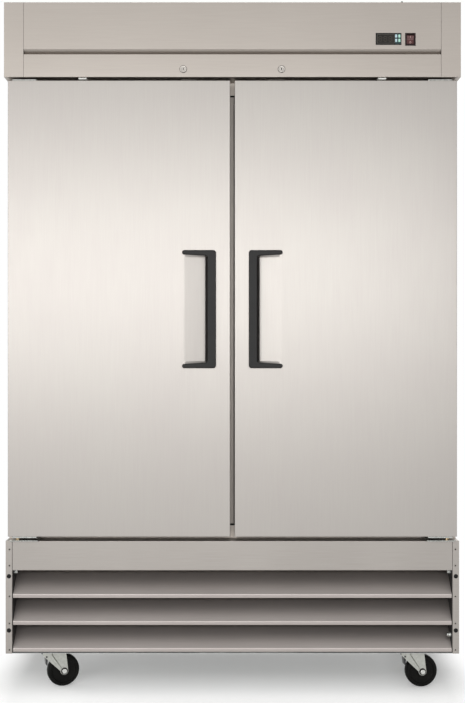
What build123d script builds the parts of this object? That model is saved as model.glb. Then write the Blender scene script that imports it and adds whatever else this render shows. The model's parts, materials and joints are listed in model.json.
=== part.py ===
from build123d import *
from math import cos, hypot, radians, sin
import os

# Two-door reach-in refrigerator on casters, in millimetres.
# Origin: on the floor, under the middle of the cabinet. +X is to the right seen from the front, +Y to the
# back, +Z up. Depths are measured backwards from the foremost plane of the object.

# Overall sizes
overall_width = 1372.0
overall_depth = 820.0
overall_height = 2091.0
outer_sheet = 1.2

# Heights of the header and the base
header_height = 225.0
base_height = 341.2
insulation_above_header = 60.0
floor_insulation = 59.0
floor_rail_rise = 40.8

# Depths of the front faces, each behind the foremost plane or the face named
trim_stand_out = 2.5
door_setback = 10.0
base_setback = 25.0

# Doors
door_thickness = 56.0
door_gap_at_centre = 14.0
door_gap_at_side = 9.4
door_gap_at_header = 7.5
door_gap_at_base = 15.0
door_sheet = 1.0
door_bend_radius = 1.5
frame_overlap_at_top = 46.5

# Gaskets
gasket_width = 20.0
gasket_thickness = 11.2
gasket_gap = 0.8
gasket_inset_at_centre = 20.0
gasket_inset_at_top = 21.5
gasket_inset_at_base = 2.7
gasket_inset_at_hinge = 26.6

# Hinges
hinge_inset = 26.0
hinge_depth_in_door = 25.0
hinge_pin_radius = 4.0
hinge_pin_clearance = 0.05
hinge_hole_clearance = 2.0
hinge_leaf_length = 75.0
hinge_leaf_width = 46.0
upper_leaf_thickness = 4.0
lower_leaf_thickness = 4.5
leaf_end_to_axis = 14.0
hinge_bracket_margin = 8.0
hinge_bracket_thickness = 3.0
upper_bracket_thickness = 4.0
hinge_bracket_length = 86.0
hinge_bracket_width = 44.0
bolt_offsets = (22.0, 50.0)
bolt_head_radius = 5.0
bolt_head_height = 3.0
cartridge_radius = 7.0
seat_gap = 0.3
pin_reach_into_door = 3.0

# Handles and their finger pockets
handle_inset = 42.5
handle_width = 101.5
handle_height = 355.0
handle_rise = 507.8
handle_stand_out = 9.0
grip_width = 25.5
arm_thickness_at_tip = 13.0
arm_thickness_at_grip = 17.0
handle_corner_radius = 5.0
handle_edge_radius = 2.5
pocket_depth = 28.0
pocket_end_inset = 5.0
pocket_overlap_under_grip = 15.0
pocket_floor_width = 10.0
pocket_knee_width = 28.0
pocket_knee_depth = 12.0
pocket_overlap_under_arm = 3.0
grip_flange = 2.8
pocket_side_gap = 0.3

# Header pieces
header_cap_width = 58.5
panel_joint = 1.5
fascia_bend_height = 84.4
groove_bottom_height = 69.4
groove_depth = 14.0
rail_flange = 12.0
header_top_flange = 20.0
fascia_tail = 12.0

# Controller and rocker switch
controller_from_cap = 197.3
controller_rise = 96.5
controller_width = 77.0
controller_height = 35.4
controller_body_depth = 58.0
bezel_overlap = 3.0
bezel_recess = 0.7
window_recess = 0.6
button_width = 6.6
button_height = 10.0
button_length = 3.5
button_travel = 0.8
button_clearance = 0.3
button_lift = 0.2
button_insets = (15.8, 6.2)
button_rises = (13.1, 26.1)
rocker_from_cap = 108.9
rocker_rise = 94.0
rocker_width = 31.4
rocker_height = 38.0
rocker_body_depth = 26.0
rocker_frame = 4.6
rocker_tilt = 9.0
rocker_pivot_depth = 7.0
rocker_side_clearance = 0.3
rocker_end_clearance = 1.2
trunnion_radius = 1.5
trunnion_clearance = 0.05
trunnion_length = 2.0
cutout_clearance = 0.25

# Locks
lock_from_centre = 147.5
lock_height_above_header_bottom = 23.7
lock_bezel_radius = 11.0
lock_barrel_radius = 9.2
lock_barrel_depth = 26.0
lock_plug_radius = 6.0
lock_plug_clearance = 0.05
lock_nut_radius = 13.0
lock_nut_thickness = 4.0
cam_length = 42.0
cam_width = 12.0
cam_thickness = 2.5
cam_gap = 2.0
cam_slot_clearance = 2.5
cam_slot_reach = 15.0
key_slot_width = 1.4
key_slot_height = 7.0
key_slot_depth = 5.0

# Door switches and the stud on the header
switch_from_side = 235.4
switch_width = 25.0
switch_height = 4.5
switch_depth = 26.0
switch_setback = 6.0
stud_radius = 3.0
stud_height = 4.0
stud_from_side = 176.0
stud_setback = 8.0

# Insulated box
side_wall = 60.0
back_wall = 58.0
liner_sheet = 1.0
frame_sheet = 1.5
header_wall = 55.0
mullion_width = 104.0
mullion_depth = 60.0
mullion_wall = 3.0
mullion_joint = 3.0
mullion_groove_start = 3.4
mullion_groove_width = 5.0
mullion_groove_depth = 2.0

# Shelves and their supports
standard_width = 20.0
standard_thickness = 3.0
standard_foot_gap = 49.0
standard_head_gap = 32.0
standard_pitch = 25.4
standard_slot_width = 4.0
standard_slot_height = 12.0
front_standard_setback = 109.5
rear_standard_inset = 59.8
shelf_rises = (269.0, 579.0, 889.0)
clip_width = 16.0
clip_reach = 16.0
clip_height = 8.0
shelf_gap_at_front = 11.5
shelf_gap_at_back = 9.8
shelf_gap_at_side = 6.0
shelf_gap_at_middle = 7.0
wire_radius = 2.0
rod_radius = 3.5
wire_pitch = 30.0
wire_bite = 1.0
cross_rods = 3

# Evaporator
cover_side_gap = 155.0
cover_depth = 329.8
cover_height = 204.0
cover_sheet = 1.0
cooling_fan_radius = 82.0
cooling_fan_clearance = 6.0
cooling_fan_setback = 14.0
cooling_fan_length = 22.0
cooling_motor_radius = 35.0
cooling_motor_length = 60.0
motor_gap = 4.0
shaft_radius = 3.0
shaft_clearance = 0.05
return_slots = 16
return_slot_width = 10.0
return_slot_length = 150.0
guard_bar = 3.0
guard_rings = 3
coil_side_gap = 90.0
coil_gap_at_back = 59.8
coil_depth = 110.0
coil_height = 150.0
coil_lift = 30.0
fin_pitch = 12.0
fin_thickness = 1.5
coil_core = 24.0
coil_tube_radius = 5.0
light_length = 600.0
light_height = 22.0
light_depth = 12.0
light_rise = 12.0

# Base
strip_height = 89.7
post_width = 20.0
post_sheet = 1.5
post_depth = 40.0
strip_return = 15.0
pan_sheet = 2.0
blade_count = 3
blade_pitch = 81.8
lowest_lip_rise = 18.0
lip_height = 14.0
lip_hem = 8.0
blade_run = 72.0
blade_rise = 64.0
blade_sheet = 1.0
blade_end_gap = 0.5
blade_end_plate = 1.0
plug_radius = 6.0
plug_stand_out = 1.0
plug_length = 8.0
plug_rises = (70.0, 234.0)
vent_rows = 8
vent_columns = 5
vent_width = 150.0
vent_height = 9.0

# Condensing unit
condenser_from_side = 84.8
condenser_setback = 97.5
condenser_width = 470.0
condenser_depth = 60.0
condenser_height = 270.0
condenser_lift = 8.0
shroud_depth = 30.0
shroud_sheet = 1.5
condenser_fan_radius = 122.0
condenser_fan_clearance = 7.0
condenser_fan_length = 26.0
condenser_motor_radius = 42.0
condenser_motor_length = 72.0
compressor_from_side = 384.8
compressor_from_back = 388.8
compressor_radius = 104.0
compressor_height = 225.0
compressor_lift = 24.0
grommet_radius = 14.0
stub_radius = 8.0
stub_length = 14.0
line_radius = 4.8
line_bend = 22.0
suction_radius = 6.8
suction_bend = 26.0
drier_radius = 13.0
drier_length = 110.0
box_width = 190.0
box_depth = 100.0
box_height = 170.0
box_sheet = 1.5
box_from_side = 254.8
box_gap_at_back = 8.0
gland_radius = 12.0
gland_bore = 5.0

# Casters
wheel_radius = 50.0
wheel_width = 30.0
wheel_top_gap = 11.7
caster_from_side = 129.0
front_caster_setback = 94.5
rear_caster_from_back = 98.0
caster_trail = 30.0
caster_plate_length = 95.0
caster_plate_width = 70.0
caster_plate_thickness = 3.0
raceway_radius = 25.0
raceway_height = 10.0
swivel_gap = 0.3
kingpin_radius = 5.0
kingpin_clearance = 0.05
kingpin_head_radius = 9.0
kingpin_head_height = 3.0
fork_sheet = 3.0
fork_rear_length = 36.0
fork_lip = 11.0
fork_side_gap = 2.5
fork_end_radius = 12.0
axle_radius = 5.0
axle_clearance = 0.05
axle_head_radius = 8.0
axle_head_length = 5.0
hub_side_gap = 0.6
pedal_width = 26.0
pedal_thickness = 4.0
pedal_wheel_gap = 5.0
pedal_pivot_drop = 13.7
pedal_pivot_radius = 2.5
pedal_pivot_clearance = 0.05

# How far each caster is turned from trailing straight to the right
caster_turns = {"front_left": 21.0, "front_right": 7.0, "rear_left": 12.0, "rear_right": 16.0}

# Worked out from the sizes above
half_width = overall_width / 2
inner_half = half_width - outer_sheet
back_inside = overall_depth - outer_sheet
axle_height = wheel_radius
fork_under = 2 * wheel_radius + wheel_top_gap
fork_top = fork_under + fork_sheet
race_low = fork_top + swivel_gap
plate_low = race_low + raceway_height
base_bottom = plate_low + caster_plate_thickness
base_top = base_bottom + base_height
header_face = trim_stand_out
header_bottom = overall_height - header_height
base_face = header_face + base_setback
door_face = header_face + door_setback
door_back = door_face + door_thickness
gasket_back = door_back + gasket_thickness
cabinet_face = gasket_back + gasket_gap
frame_back = cabinet_face + frame_sheet
door_top = header_bottom - door_gap_at_header
door_bottom = base_top + door_gap_at_base
door_inner_edge = door_gap_at_centre / 2
door_outer_edge = half_width - door_gap_at_side
opening_bottom = base_top + floor_rail_rise
opening_top = door_top - frame_overlap_at_top
hinge_x = door_outer_edge - hinge_inset
hinge_depth = door_face + hinge_depth_in_door
cap_inner = half_width - header_cap_width
fascia_half = cap_inner - panel_joint
liner_half = half_width - side_wall
interior_half = liner_half - liner_sheet
liner_back = overall_depth - back_wall - outer_sheet
interior_back = liner_back - liner_sheet
interior_floor = opening_bottom + liner_sheet
liner_ceiling = overall_height - insulation_above_header
interior_ceiling = liner_ceiling - liner_sheet
header_wall_back = frame_back + header_wall
mullion_back = cabinet_face + mullion_depth
box_bottom = opening_bottom - floor_insulation
deck_under = box_bottom - outer_sheet
pan_top = base_bottom + pan_sheet
lock_height = header_bottom + lock_height_above_header_bottom
stud_x = half_width - stud_from_side
cam_front = header_face + lock_barrel_depth + cam_gap
shelf_levels = [interior_floor + rise for rise in shelf_rises]


def y_of(depth):
    """Row coordinate of a depth measured from the foremost plane."""
    return depth - overall_depth / 2


def block(x0, x1, d0, d1, z0, z1):
    """Box between two x limits, two depths and two heights."""
    size = (abs(x1 - x0), abs(d1 - d0), abs(z1 - z0))
    middle = ((x0 + x1) / 2, y_of((d0 + d1) / 2), (z0 + z1) / 2)
    return Pos(*middle) * Box(*size)


def prism(points, direction):
    """Solid swept from a flat polygon of row points along a direction."""
    face = Face(Wire.make_polygon(points))
    return Part() + Solid.extrude(face, Vector(*direction))


def prism_along_x(outline, x0, x1):
    """Outline of (depth, height) points carried from x0 to x1."""
    return prism([(x0, y_of(d), z) for d, z in outline], (x1 - x0, 0, 0))


def prism_along_depth(outline, d0, d1):
    """Outline of (x, height) points carried from one depth to another."""
    return prism([(x, y_of(d0), z) for x, z in outline], (0, d1 - d0, 0))


def prism_upwards(outline, z0, z1):
    """Outline of (x, depth) points carried from z0 up to z1."""
    return prism([(x, y_of(d), z0) for x, d in outline], (0, 0, z1 - z0))


def cylinder_up(x, depth, z0, z1, radius):
    return Pos(x, y_of(depth), (z0 + z1) / 2) * Cylinder(radius, abs(z1 - z0))


def cylinder_back(x, z, d0, d1, radius):
    turned = Rot(90, 0, 0) * Cylinder(radius, abs(d1 - d0))
    return Pos(x, y_of((d0 + d1) / 2), z) * turned


def cylinder_across(depth, z, x0, x1, radius):
    turned = Rot(0, 90, 0) * Cylinder(radius, abs(x1 - x0))
    return Pos((x0 + x1) / 2, y_of(depth), z) * turned


def offset_path(path, distance):
    """The open path moved sideways by a distance, with mitred corners."""
    normals = []
    for (a0, b0), (a1, b1) in zip(path, path[1:]):
        length = hypot(a1 - a0, b1 - b0)
        normals.append(((b1 - b0) / length, -(a1 - a0) / length))
    moved = []
    for i, (a, b) in enumerate(path):
        before = normals[max(i - 1, 0)]
        after = normals[min(i, len(normals) - 1)]
        stretch = 1 + before[0] * after[0] + before[1] * after[1]
        across = ((before[0] + after[0]) / stretch, (before[1] + after[1]) / stretch)
        moved.append((a + distance * across[0], b + distance * across[1]))
    return moved


def sheet_outline(path, thickness):
    """Closed outline of a bent sheet whose outer face follows the path."""
    return list(path) + offset_path(path, thickness)[::-1]


def mirrored(shape):
    """The same piece on the other side of the cabinet."""
    return mirror(shape, about=Plane.YZ)


def pair(shape):
    """A piece and its mirror image, as separate solids."""
    return [shape, mirrored(shape)]


def solids_in(pieces):
    """All solids of one piece or of a list of pieces."""
    if not isinstance(pieces, (list, tuple)):
        pieces = [pieces]
    return [solid for piece in pieces for solid in piece.solids()]


# Outer shell


def side_panel():
    """Right outer side sheet: one flat C outline, stepped back between header and base."""
    cap_back = header_face + outer_sheet
    post_back = base_face + post_sheet
    outline = [
        (cap_back, overall_height),
        (cap_back, header_bottom),
        (cabinet_face, header_bottom),
        (cabinet_face, base_top),
        (post_back, base_top),
        (post_back, base_bottom),
        (back_inside, base_bottom),
        (back_inside, overall_height),
    ]
    return prism_along_x(outline, inner_half, half_width)


def back_panel():
    """Back sheet with rows of vent slots behind the condensing unit and a hole for the power inlet."""
    panel = block(-half_width, half_width, back_inside, overall_depth, base_bottom, overall_height)
    column_pitch = 2 * inner_half / (vent_columns + 1)
    row_pitch = (box_bottom - base_bottom) / (vent_rows + 2)
    slots = []
    for column in range(vent_columns):
        x = -inner_half + column_pitch * (column + 0.7)
        for row in range(vent_rows):
            z = base_bottom + row_pitch * (row + 1.5)
            slot = block(
                x - vent_width / 2,
                x + vent_width / 2,
                back_inside - 1,
                overall_depth + 1,
                z - vent_height / 2,
                z + vent_height / 2,
            )
            slots.append(slot)
    inlet = cylinder_back(gland_x, gland_z, back_inside - 1, overall_depth + 1, gland_radius + 0.5)
    return panel - slots - inlet


def top_panel():
    front = header_face + header_top_flange + 0.5
    return block(-inner_half, inner_half, front, back_inside, overall_height - outer_sheet, overall_height)


def insulation():
    """Foam of the walls, floor and ceiling, and the separate foam block behind the header."""
    shell = block(
        -inner_half, inner_half, frame_back, back_inside, box_bottom, overall_height - outer_sheet
    )
    cavity = block(-liner_half, liner_half, frame_back - 1, liner_back, opening_bottom, liner_ceiling)
    header_block = block(
        -interior_half,
        interior_half,
        frame_back,
        header_wall_back - liner_sheet,
        opening_top + liner_sheet,
        liner_ceiling,
    )
    return [shell - cavity, header_block]


def inner_liner():
    """Seven flat sheets: two sides, back, floor, ceiling, and the two sheets round the header wall."""
    side = block(interior_half, liner_half, frame_back, liner_back, opening_bottom, liner_ceiling)
    back = block(
        -interior_half, interior_half, interior_back, liner_back, opening_bottom, liner_ceiling
    )
    floor = block(
        -interior_half, interior_half, frame_back, interior_back, opening_bottom, interior_floor
    )
    ceiling = block(
        -interior_half, interior_half, header_wall_back, interior_back, interior_ceiling, liner_ceiling
    )
    soffit = block(
        -interior_half,
        interior_half,
        frame_back,
        header_wall_back,
        opening_top,
        opening_top + liner_sheet,
    )
    header_sheet = block(
        -interior_half,
        interior_half,
        header_wall_back - liner_sheet,
        header_wall_back,
        opening_top + liner_sheet,
        liner_ceiling,
    )
    return pair(side) + [back, floor, ceiling, soffit, header_sheet]


def face_frame():
    """Flat frame that the gaskets seal against: two rails and two stiles."""
    top_rail = block(
        -inner_half, inner_half, cabinet_face, frame_back, opening_top, overall_height - outer_sheet
    )
    bottom_rail = block(
        -inner_half, inner_half, cabinet_face, frame_back, box_bottom, opening_bottom
    )
    stile = block(liner_half, inner_half, cabinet_face, frame_back, opening_bottom, opening_top)
    return [top_rail, bottom_rail] + pair(stile)


def centre_mullion():
    """Box post between the two openings, short of the rails by a joint, held by end tenons."""
    half = mullion_width / 2
    low = opening_bottom + mullion_joint
    high = opening_top - mullion_joint
    back = cabinet_face + mullion_depth
    post = block(-half, half, cabinet_face, back, low, high)
    hollow = block(
        -half + mullion_wall,
        half - mullion_wall,
        cabinet_face + mullion_wall,
        back - mullion_wall,
        low + mullion_wall,
        high - mullion_wall,
    )
    groove = block(
        mullion_groove_start,
        mullion_groove_start + mullion_groove_width,
        cabinet_face - 1,
        cabinet_face + mullion_groove_depth,
        low - 1,
        high + 1,
    )
    tenon_front = frame_back + 4
    upper_tenon = block(-half / 2, half / 2, tenon_front, back - 8, high - 1, opening_top)
    lower_tenon = block(-half / 2, half / 2, tenon_front, back - 8, interior_floor, low + 1)
    return post - hollow - groove + upper_tenon + lower_tenon


# Header


def header_fascia():
    """Bent front sheet above the lock rail, and the two plain end caps as separate solids."""
    rear = header_face + header_top_flange
    bend = header_bottom + fascia_bend_height
    groove_bottom = header_bottom + groove_bottom_height
    groove_back = header_face + groove_depth
    path = [
        (rear, overall_height),
        (header_face, overall_height),
        (header_face, bend),
        (groove_back, groove_bottom),
        (groove_back, groove_bottom - fascia_tail),
    ]
    fascia = prism_along_x(sheet_outline(path, -outer_sheet), -fascia_half, fascia_half)
    controller_hole = block(
        controller_left + bezel_overlap - cutout_clearance,
        controller_left + controller_width - bezel_overlap + cutout_clearance,
        header_face - 1,
        header_face + outer_sheet + 1,
        controller_bottom + bezel_overlap - cutout_clearance,
        controller_bottom + controller_height - bezel_overlap + cutout_clearance,
    )
    rocker_hole = block(
        rocker_left + bezel_overlap - cutout_clearance,
        rocker_left + rocker_width - bezel_overlap + cutout_clearance,
        header_face - 1,
        header_face + outer_sheet + 1,
        rocker_bottom + bezel_overlap - cutout_clearance,
        rocker_bottom + rocker_height - bezel_overlap + cutout_clearance,
    )
    stud_hole = cylinder_up(
        stud_x,
        header_face + stud_setback,
        overall_height - outer_sheet - 1,
        overall_height + 1,
        stud_radius,
    )
    cap_path = [
        (rear, overall_height),
        (header_face, overall_height),
        (header_face, header_bottom),
        (cabinet_face - 0.2, header_bottom),
    ]
    cap = prism_along_x(sheet_outline(cap_path, -outer_sheet), cap_inner, inner_half)
    cap_front = block(
        inner_half - 0.5,
        half_width,
        header_face,
        header_face + outer_sheet,
        header_bottom,
        overall_height,
    )
    cap_return = block(
        cap_inner,
        cap_inner + outer_sheet,
        header_face,
        rear,
        header_bottom + outer_sheet + upper_bracket_thickness + 1,
        overall_height,
    )
    pin_hole = cylinder_up(
        hinge_x,
        hinge_depth,
        header_bottom - 1,
        header_bottom + outer_sheet + 1,
        hinge_pin_radius + hinge_hole_clearance,
    )
    cap = cap + cap_front + cap_return - pin_hole
    return [fascia - controller_hole - rocker_hole - stud_hole] + pair(cap)


def cam_slot(z0, z1, from_axis):
    """Space the turning cam sweeps through below its axis, for the right lock."""
    swing = (cam_length**2 - from_axis**2) ** 0.5
    return block(
        lock_from_centre - swing - cam_slot_clearance,
        lock_from_centre + cam_width / 2 + cam_slot_clearance,
        cam_front - cam_slot_clearance,
        cam_front + cam_thickness + cam_slot_clearance,
        z0,
        z1,
    )


def header_rail():
    """Channel below the fascia: face with two lock holes, top flange, and the header's underside."""
    top = header_bottom + groove_bottom_height
    path = [
        (header_face + rail_flange, top),
        (header_face, top),
        (header_face, header_bottom),
        (cabinet_face - 0.2, header_bottom),
    ]
    rail = prism_along_x(sheet_outline(path, -outer_sheet), -fascia_half, fascia_half)
    hole = cylinder_back(
        lock_from_centre, lock_height, header_face - 1, header_face + 3, lock_barrel_radius + 0.2
    )
    slot = cam_slot(header_bottom - 1, header_bottom + outer_sheet + 1, lock_height_above_header_bottom)
    return rail - hole - mirrored(hole) - slot - mirrored(slot)


# Controls in the header

controller_left = cap_inner - controller_from_cap
controller_bottom = header_bottom + controller_rise
controller_right = controller_left + controller_width
controller_top = controller_bottom + controller_height
controller_front = bezel_recess
button_columns = [controller_right - inset for inset in button_insets]
button_rows = [controller_bottom + rise for rise in button_rises]
rocker_left = cap_inner - rocker_from_cap
rocker_bottom = header_bottom + rocker_rise
rocker_right = rocker_left + rocker_width
rocker_top = rocker_bottom + rocker_height
rocker_centre_z = rocker_bottom + rocker_height / 2
rocker_centre_x = rocker_left + rocker_width / 2


def button_socket(x, z):
    return block(
        x - button_width / 2 - button_clearance,
        x + button_width / 2 + button_clearance,
        -1,
        button_length + button_travel + button_clearance + button_lift,
        z - button_height / 2 - button_clearance,
        z + button_height / 2 + button_clearance,
    )


def controller_case():
    """Bezel, recessed window field, a body behind the fascia and four button sockets."""
    bezel = block(
        controller_left, controller_right, controller_front, header_face, controller_bottom, controller_top
    )
    body = block(
        controller_left + bezel_overlap,
        controller_right - bezel_overlap,
        header_face - 0.5,
        header_face + controller_body_depth,
        controller_bottom + bezel_overlap,
        controller_top - bezel_overlap,
    )
    window_right = min(button_columns) - button_width
    window = block(
        controller_left + bezel_overlap + 2,
        window_right,
        controller_front - 1,
        controller_front + window_recess,
        controller_bottom + bezel_overlap + 1.5,
        controller_top - bezel_overlap - 1.5,
    )
    sockets = [button_socket(x, z) for x in button_columns for z in button_rows]
    return bezel + body - window - sockets


def push_button(x, z):
    """One key with rounded front edges, standing just proud of the bezel."""
    key = block(
        x - button_width / 2,
        x + button_width / 2,
        0,
        button_length,
        z - button_height / 2,
        z + button_height / 2,
    )
    return fillet(key.faces().sort_by(Axis.Y)[0].edges(), 0.4)


def rocker_cavity():
    return block(
        rocker_left + rocker_frame,
        rocker_right - rocker_frame,
        -1,
        rocker_pivot_depth + 9,
        rocker_bottom + rocker_frame,
        rocker_top - rocker_frame,
    )


def rocker_case():
    """Switch housing: bezel, body and the cavity with pivot holes in its side walls."""
    bezel = block(rocker_left, rocker_right, bezel_recess, header_face, rocker_bottom, rocker_top)
    body = block(
        rocker_left + bezel_overlap,
        rocker_right - bezel_overlap,
        header_face - 0.5,
        header_face + rocker_body_depth,
        rocker_bottom + bezel_overlap,
        rocker_top - bezel_overlap,
    )
    reach = trunnion_length + 0.2
    wall = rocker_frame - bezel_overlap
    depth_of_hole = min(reach, wall - 0.3)
    holes = cylinder_across(
        rocker_pivot_depth,
        rocker_centre_z,
        rocker_left + rocker_frame - depth_of_hole,
        rocker_right - rocker_frame + depth_of_hole,
        trunnion_radius + trunnion_clearance,
    )
    return bezel + body - rocker_cavity() - holes


def rocker_paddle():
    """Shallow V paddle on two trunnions, stored tilted with its lower half pressed in."""
    half = rocker_height / 2 - rocker_frame - rocker_end_clearance
    front = rocker_pivot_depth - 4.4
    valley = front + 1.6
    back = rocker_pivot_depth + 4.0
    outline = [
        (front, rocker_centre_z + half),
        (valley, rocker_centre_z),
        (front, rocker_centre_z - half),
        (back, rocker_centre_z - half + 4),
        (back, rocker_centre_z + half - 4),
    ]
    x0 = rocker_left + rocker_frame + rocker_side_clearance
    x1 = rocker_right - rocker_frame - rocker_side_clearance
    paddle = prism_along_x(outline, x0, x1)
    pivot_reach = min(trunnion_length, rocker_frame - bezel_overlap - 0.6) + rocker_side_clearance
    pivot = cylinder_across(
        rocker_pivot_depth, rocker_centre_z, x0 - pivot_reach, x1 + pivot_reach, trunnion_radius
    )
    paddle = paddle + pivot
    axis = Axis((0, y_of(rocker_pivot_depth), rocker_centre_z), (1, 0, 0))
    return paddle.rotate(axis, rocker_tilt)


# Locks


def lock_barrels():
    """Right barrel with its bezel, and the nut behind the rail."""
    bezel = cylinder_back(lock_from_centre, lock_height, 0, header_face, lock_bezel_radius)
    bezel = chamfer(bezel.edges().sort_by(Axis.Y)[0], 0.8)
    barrel = cylinder_back(
        lock_from_centre,
        lock_height,
        header_face - 0.5,
        header_face + lock_barrel_depth,
        lock_barrel_radius,
    )
    bore = cylinder_back(
        lock_from_centre,
        lock_height,
        -1,
        header_face + lock_barrel_depth + 1,
        lock_plug_radius + lock_plug_clearance,
    )
    nut_front = header_face + outer_sheet
    nut = prism_along_depth(
        [
            (
                lock_from_centre + lock_nut_radius * cos(radians(60 * i)),
                lock_height + lock_nut_radius * sin(radians(60 * i)),
            )
            for i in range(6)
        ],
        nut_front,
        nut_front + lock_nut_thickness,
    )
    nut_back = nut_front + lock_nut_thickness
    thread = cylinder_back(
        lock_from_centre, lock_height, nut_front - 1, nut_back + 1, lock_barrel_radius
    )
    return [bezel + barrel - bore, nut - thread]


def lock_plug():
    """Right turning plug with key slot and cam, stored unlocked: the cam lies towards the middle."""
    plug = cylinder_back(lock_from_centre, lock_height, 0.4, cam_front, lock_plug_radius)
    key_slot = block(
        lock_from_centre - key_slot_width / 2,
        lock_from_centre + key_slot_width / 2,
        -1,
        key_slot_depth,
        lock_height - key_slot_height / 2,
        lock_height + key_slot_height / 2,
    )
    half = cam_width / 2
    cam = block(
        lock_from_centre - cam_length + half,
        lock_from_centre,
        cam_front,
        cam_front + cam_thickness,
        lock_height - half,
        lock_height + half,
    )
    tip_x = lock_from_centre - cam_length + half
    tip = cylinder_back(tip_x, lock_height, cam_front, cam_front + cam_thickness, half)
    root = cylinder_back(lock_from_centre, lock_height, cam_front, cam_front + cam_thickness, half)
    screw = cylinder_back(
        lock_from_centre, lock_height, cam_front + cam_thickness, cam_front + cam_thickness + 2, 3.5
    )
    return plug - key_slot + cam + tip + root + screw


# Small pieces of the header


def door_switches():
    """Right sealed door switch under the header, with a rounded sensing nose."""
    switch_x = half_width - switch_from_side
    front = header_face + switch_setback
    body = block(
        switch_x - switch_width / 2,
        switch_x + switch_width / 2,
        front,
        front + switch_depth,
        header_bottom - switch_height,
        header_bottom,
    )
    return fillet(body.edges().filter_by(Axis.Z), 2.0)


def hole_plugs():
    """Round-headed black plugs in the base posts, and the stud on top of the header."""
    x = half_width - post_width / 2
    plugs = []
    for rise in plug_rises:
        z = base_bottom + rise
        head = cylinder_back(x, z, base_face - plug_stand_out, base_face, plug_radius)
        shank = cylinder_back(x, z, base_face, base_face + plug_length, plug_radius - 1)
        plugs += pair(head + shank)
    stud_depth = header_face + stud_setback
    stud_head = cylinder_up(
        stud_x, stud_depth, overall_height, overall_height + stud_height, stud_radius
    )
    stud_shank = cylinder_up(
        stud_x, stud_depth, overall_height - 6, overall_height, stud_radius - 0.2
    )
    return plugs + [stud_head + stud_shank]


# Hinges


def hinge_brackets():
    """Right upper bracket with its fixed pin, and right lower bracket plate."""
    outer = hinge_x + leaf_end_to_axis + hinge_bracket_margin
    inner = outer - hinge_bracket_length
    front = hinge_depth - hinge_bracket_width / 2
    rear = hinge_depth + hinge_bracket_width / 2
    seat = header_bottom + outer_sheet
    upper = block(inner, outer, front, rear, seat, seat + upper_bracket_thickness)
    pin = cylinder_up(
        hinge_x,
        hinge_depth,
        door_top - pin_reach_into_door,
        seat + upper_bracket_thickness,
        hinge_pin_radius,
    )
    lower = block(
        inner, outer, front, cabinet_face - 1, base_top, base_top + hinge_bracket_thickness
    )
    face = base_top + hinge_bracket_thickness
    bolts = [
        cylinder_up(hinge_x - offset, hinge_depth, face, face + bolt_head_height, bolt_head_radius)
        for offset in bolt_offsets
    ]
    return pair(upper + pin) + pair(lower + bolts)


def hinge_cartridges():
    """Right brass self-closing cartridge that carries the door, with its pin."""
    seat = base_top + hinge_bracket_thickness
    body_top = door_bottom - lower_leaf_thickness - seat_gap
    pin_top = door_bottom + pin_reach_into_door
    body = cylinder_up(hinge_x, hinge_depth, seat, body_top, cartridge_radius)
    pin = cylinder_up(hinge_x, hinge_depth, seat, pin_top, hinge_pin_radius)
    return body + pin


def hinge_leaves():
    """Right door's upper and lower leaves, each with a running hole for its pin."""
    outer = hinge_x + leaf_end_to_axis
    inner = outer - hinge_leaf_length
    front = hinge_depth - hinge_leaf_width / 2
    rear = hinge_depth + hinge_leaf_width / 2
    hole_radius = hinge_pin_radius + hinge_pin_clearance
    leaves = []
    for z0, z1 in (
        (door_top, door_top + upper_leaf_thickness),
        (door_bottom - lower_leaf_thickness, door_bottom),
    ):
        leaf = block(inner, outer, front, rear, z0, z1)
        leaf = fillet(leaf.edges().filter_by(Axis.Z), 3.0)
        leaves.append(leaf - cylinder_up(hinge_x, hinge_depth, z0 - 1, z1 + 1, hole_radius))
    return leaves


# Doors, built for the right side

handle_outer = door_inner_edge + handle_inset + handle_width
handle_inner = door_inner_edge + handle_inset
handle_bottom = door_bottom + handle_rise
handle_top = handle_bottom + handle_height
pocket_wall = handle_inner + grip_width - pocket_overlap_under_grip
pocket_far = handle_outer - pocket_end_inset
pocket_low = handle_bottom + arm_thickness_at_tip - pocket_overlap_under_arm
pocket_high = handle_top - arm_thickness_at_tip + pocket_overlap_under_arm
pocket_path = [
    (pocket_wall, door_face),
    (pocket_wall, door_face + pocket_depth),
    (pocket_wall + pocket_floor_width, door_face + pocket_depth),
    (pocket_wall + pocket_knee_width, door_face + pocket_knee_depth),
    (pocket_far, door_face),
]


def pocket_tray():
    """Space taken by the pressed pocket, its sheet included."""
    outline = offset_path(pocket_path, -door_sheet)
    outline = [(outline[0][0], door_face)] + outline[1:] + [(pocket_far, door_face)]
    return prism_upwards(outline, pocket_low - door_sheet, pocket_high + door_sheet)


def pin_hole_in_door(z0, z1):
    return cylinder_up(hinge_x, hinge_depth, z0, z1, hinge_pin_radius + hinge_hole_clearance)


def lock_slot_in_door():
    from_axis = lock_height - door_top
    return cam_slot(door_top - cam_slot_reach, door_top + 1, from_axis)


def door_skin():
    """Outer pan with rolled front edges and the pressed finger pocket."""
    outer = block(door_inner_edge, door_outer_edge, door_face, door_back, door_bottom, door_top)
    front_edges = outer.faces().sort_by(Axis.Y)[0].edges()
    outer = fillet(front_edges, door_bend_radius)
    inside = block(
        door_inner_edge + door_sheet,
        door_outer_edge - door_sheet,
        door_face + door_sheet,
        door_back + 1,
        door_bottom + door_sheet,
        door_top - door_sheet,
    )
    mouth = [(pocket_wall, door_face - 1)] + pocket_path[1:] + [(pocket_far, door_face - 1)]
    pocket = prism_upwards(mouth, pocket_low, pocket_high)
    skin = outer - inside + pocket_tray() - pocket
    skin = skin - lock_slot_in_door()
    skin = skin - pin_hole_in_door(door_top - 2, door_top + 1)
    return skin - pin_hole_in_door(door_bottom - 1, door_bottom + 2)


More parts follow.
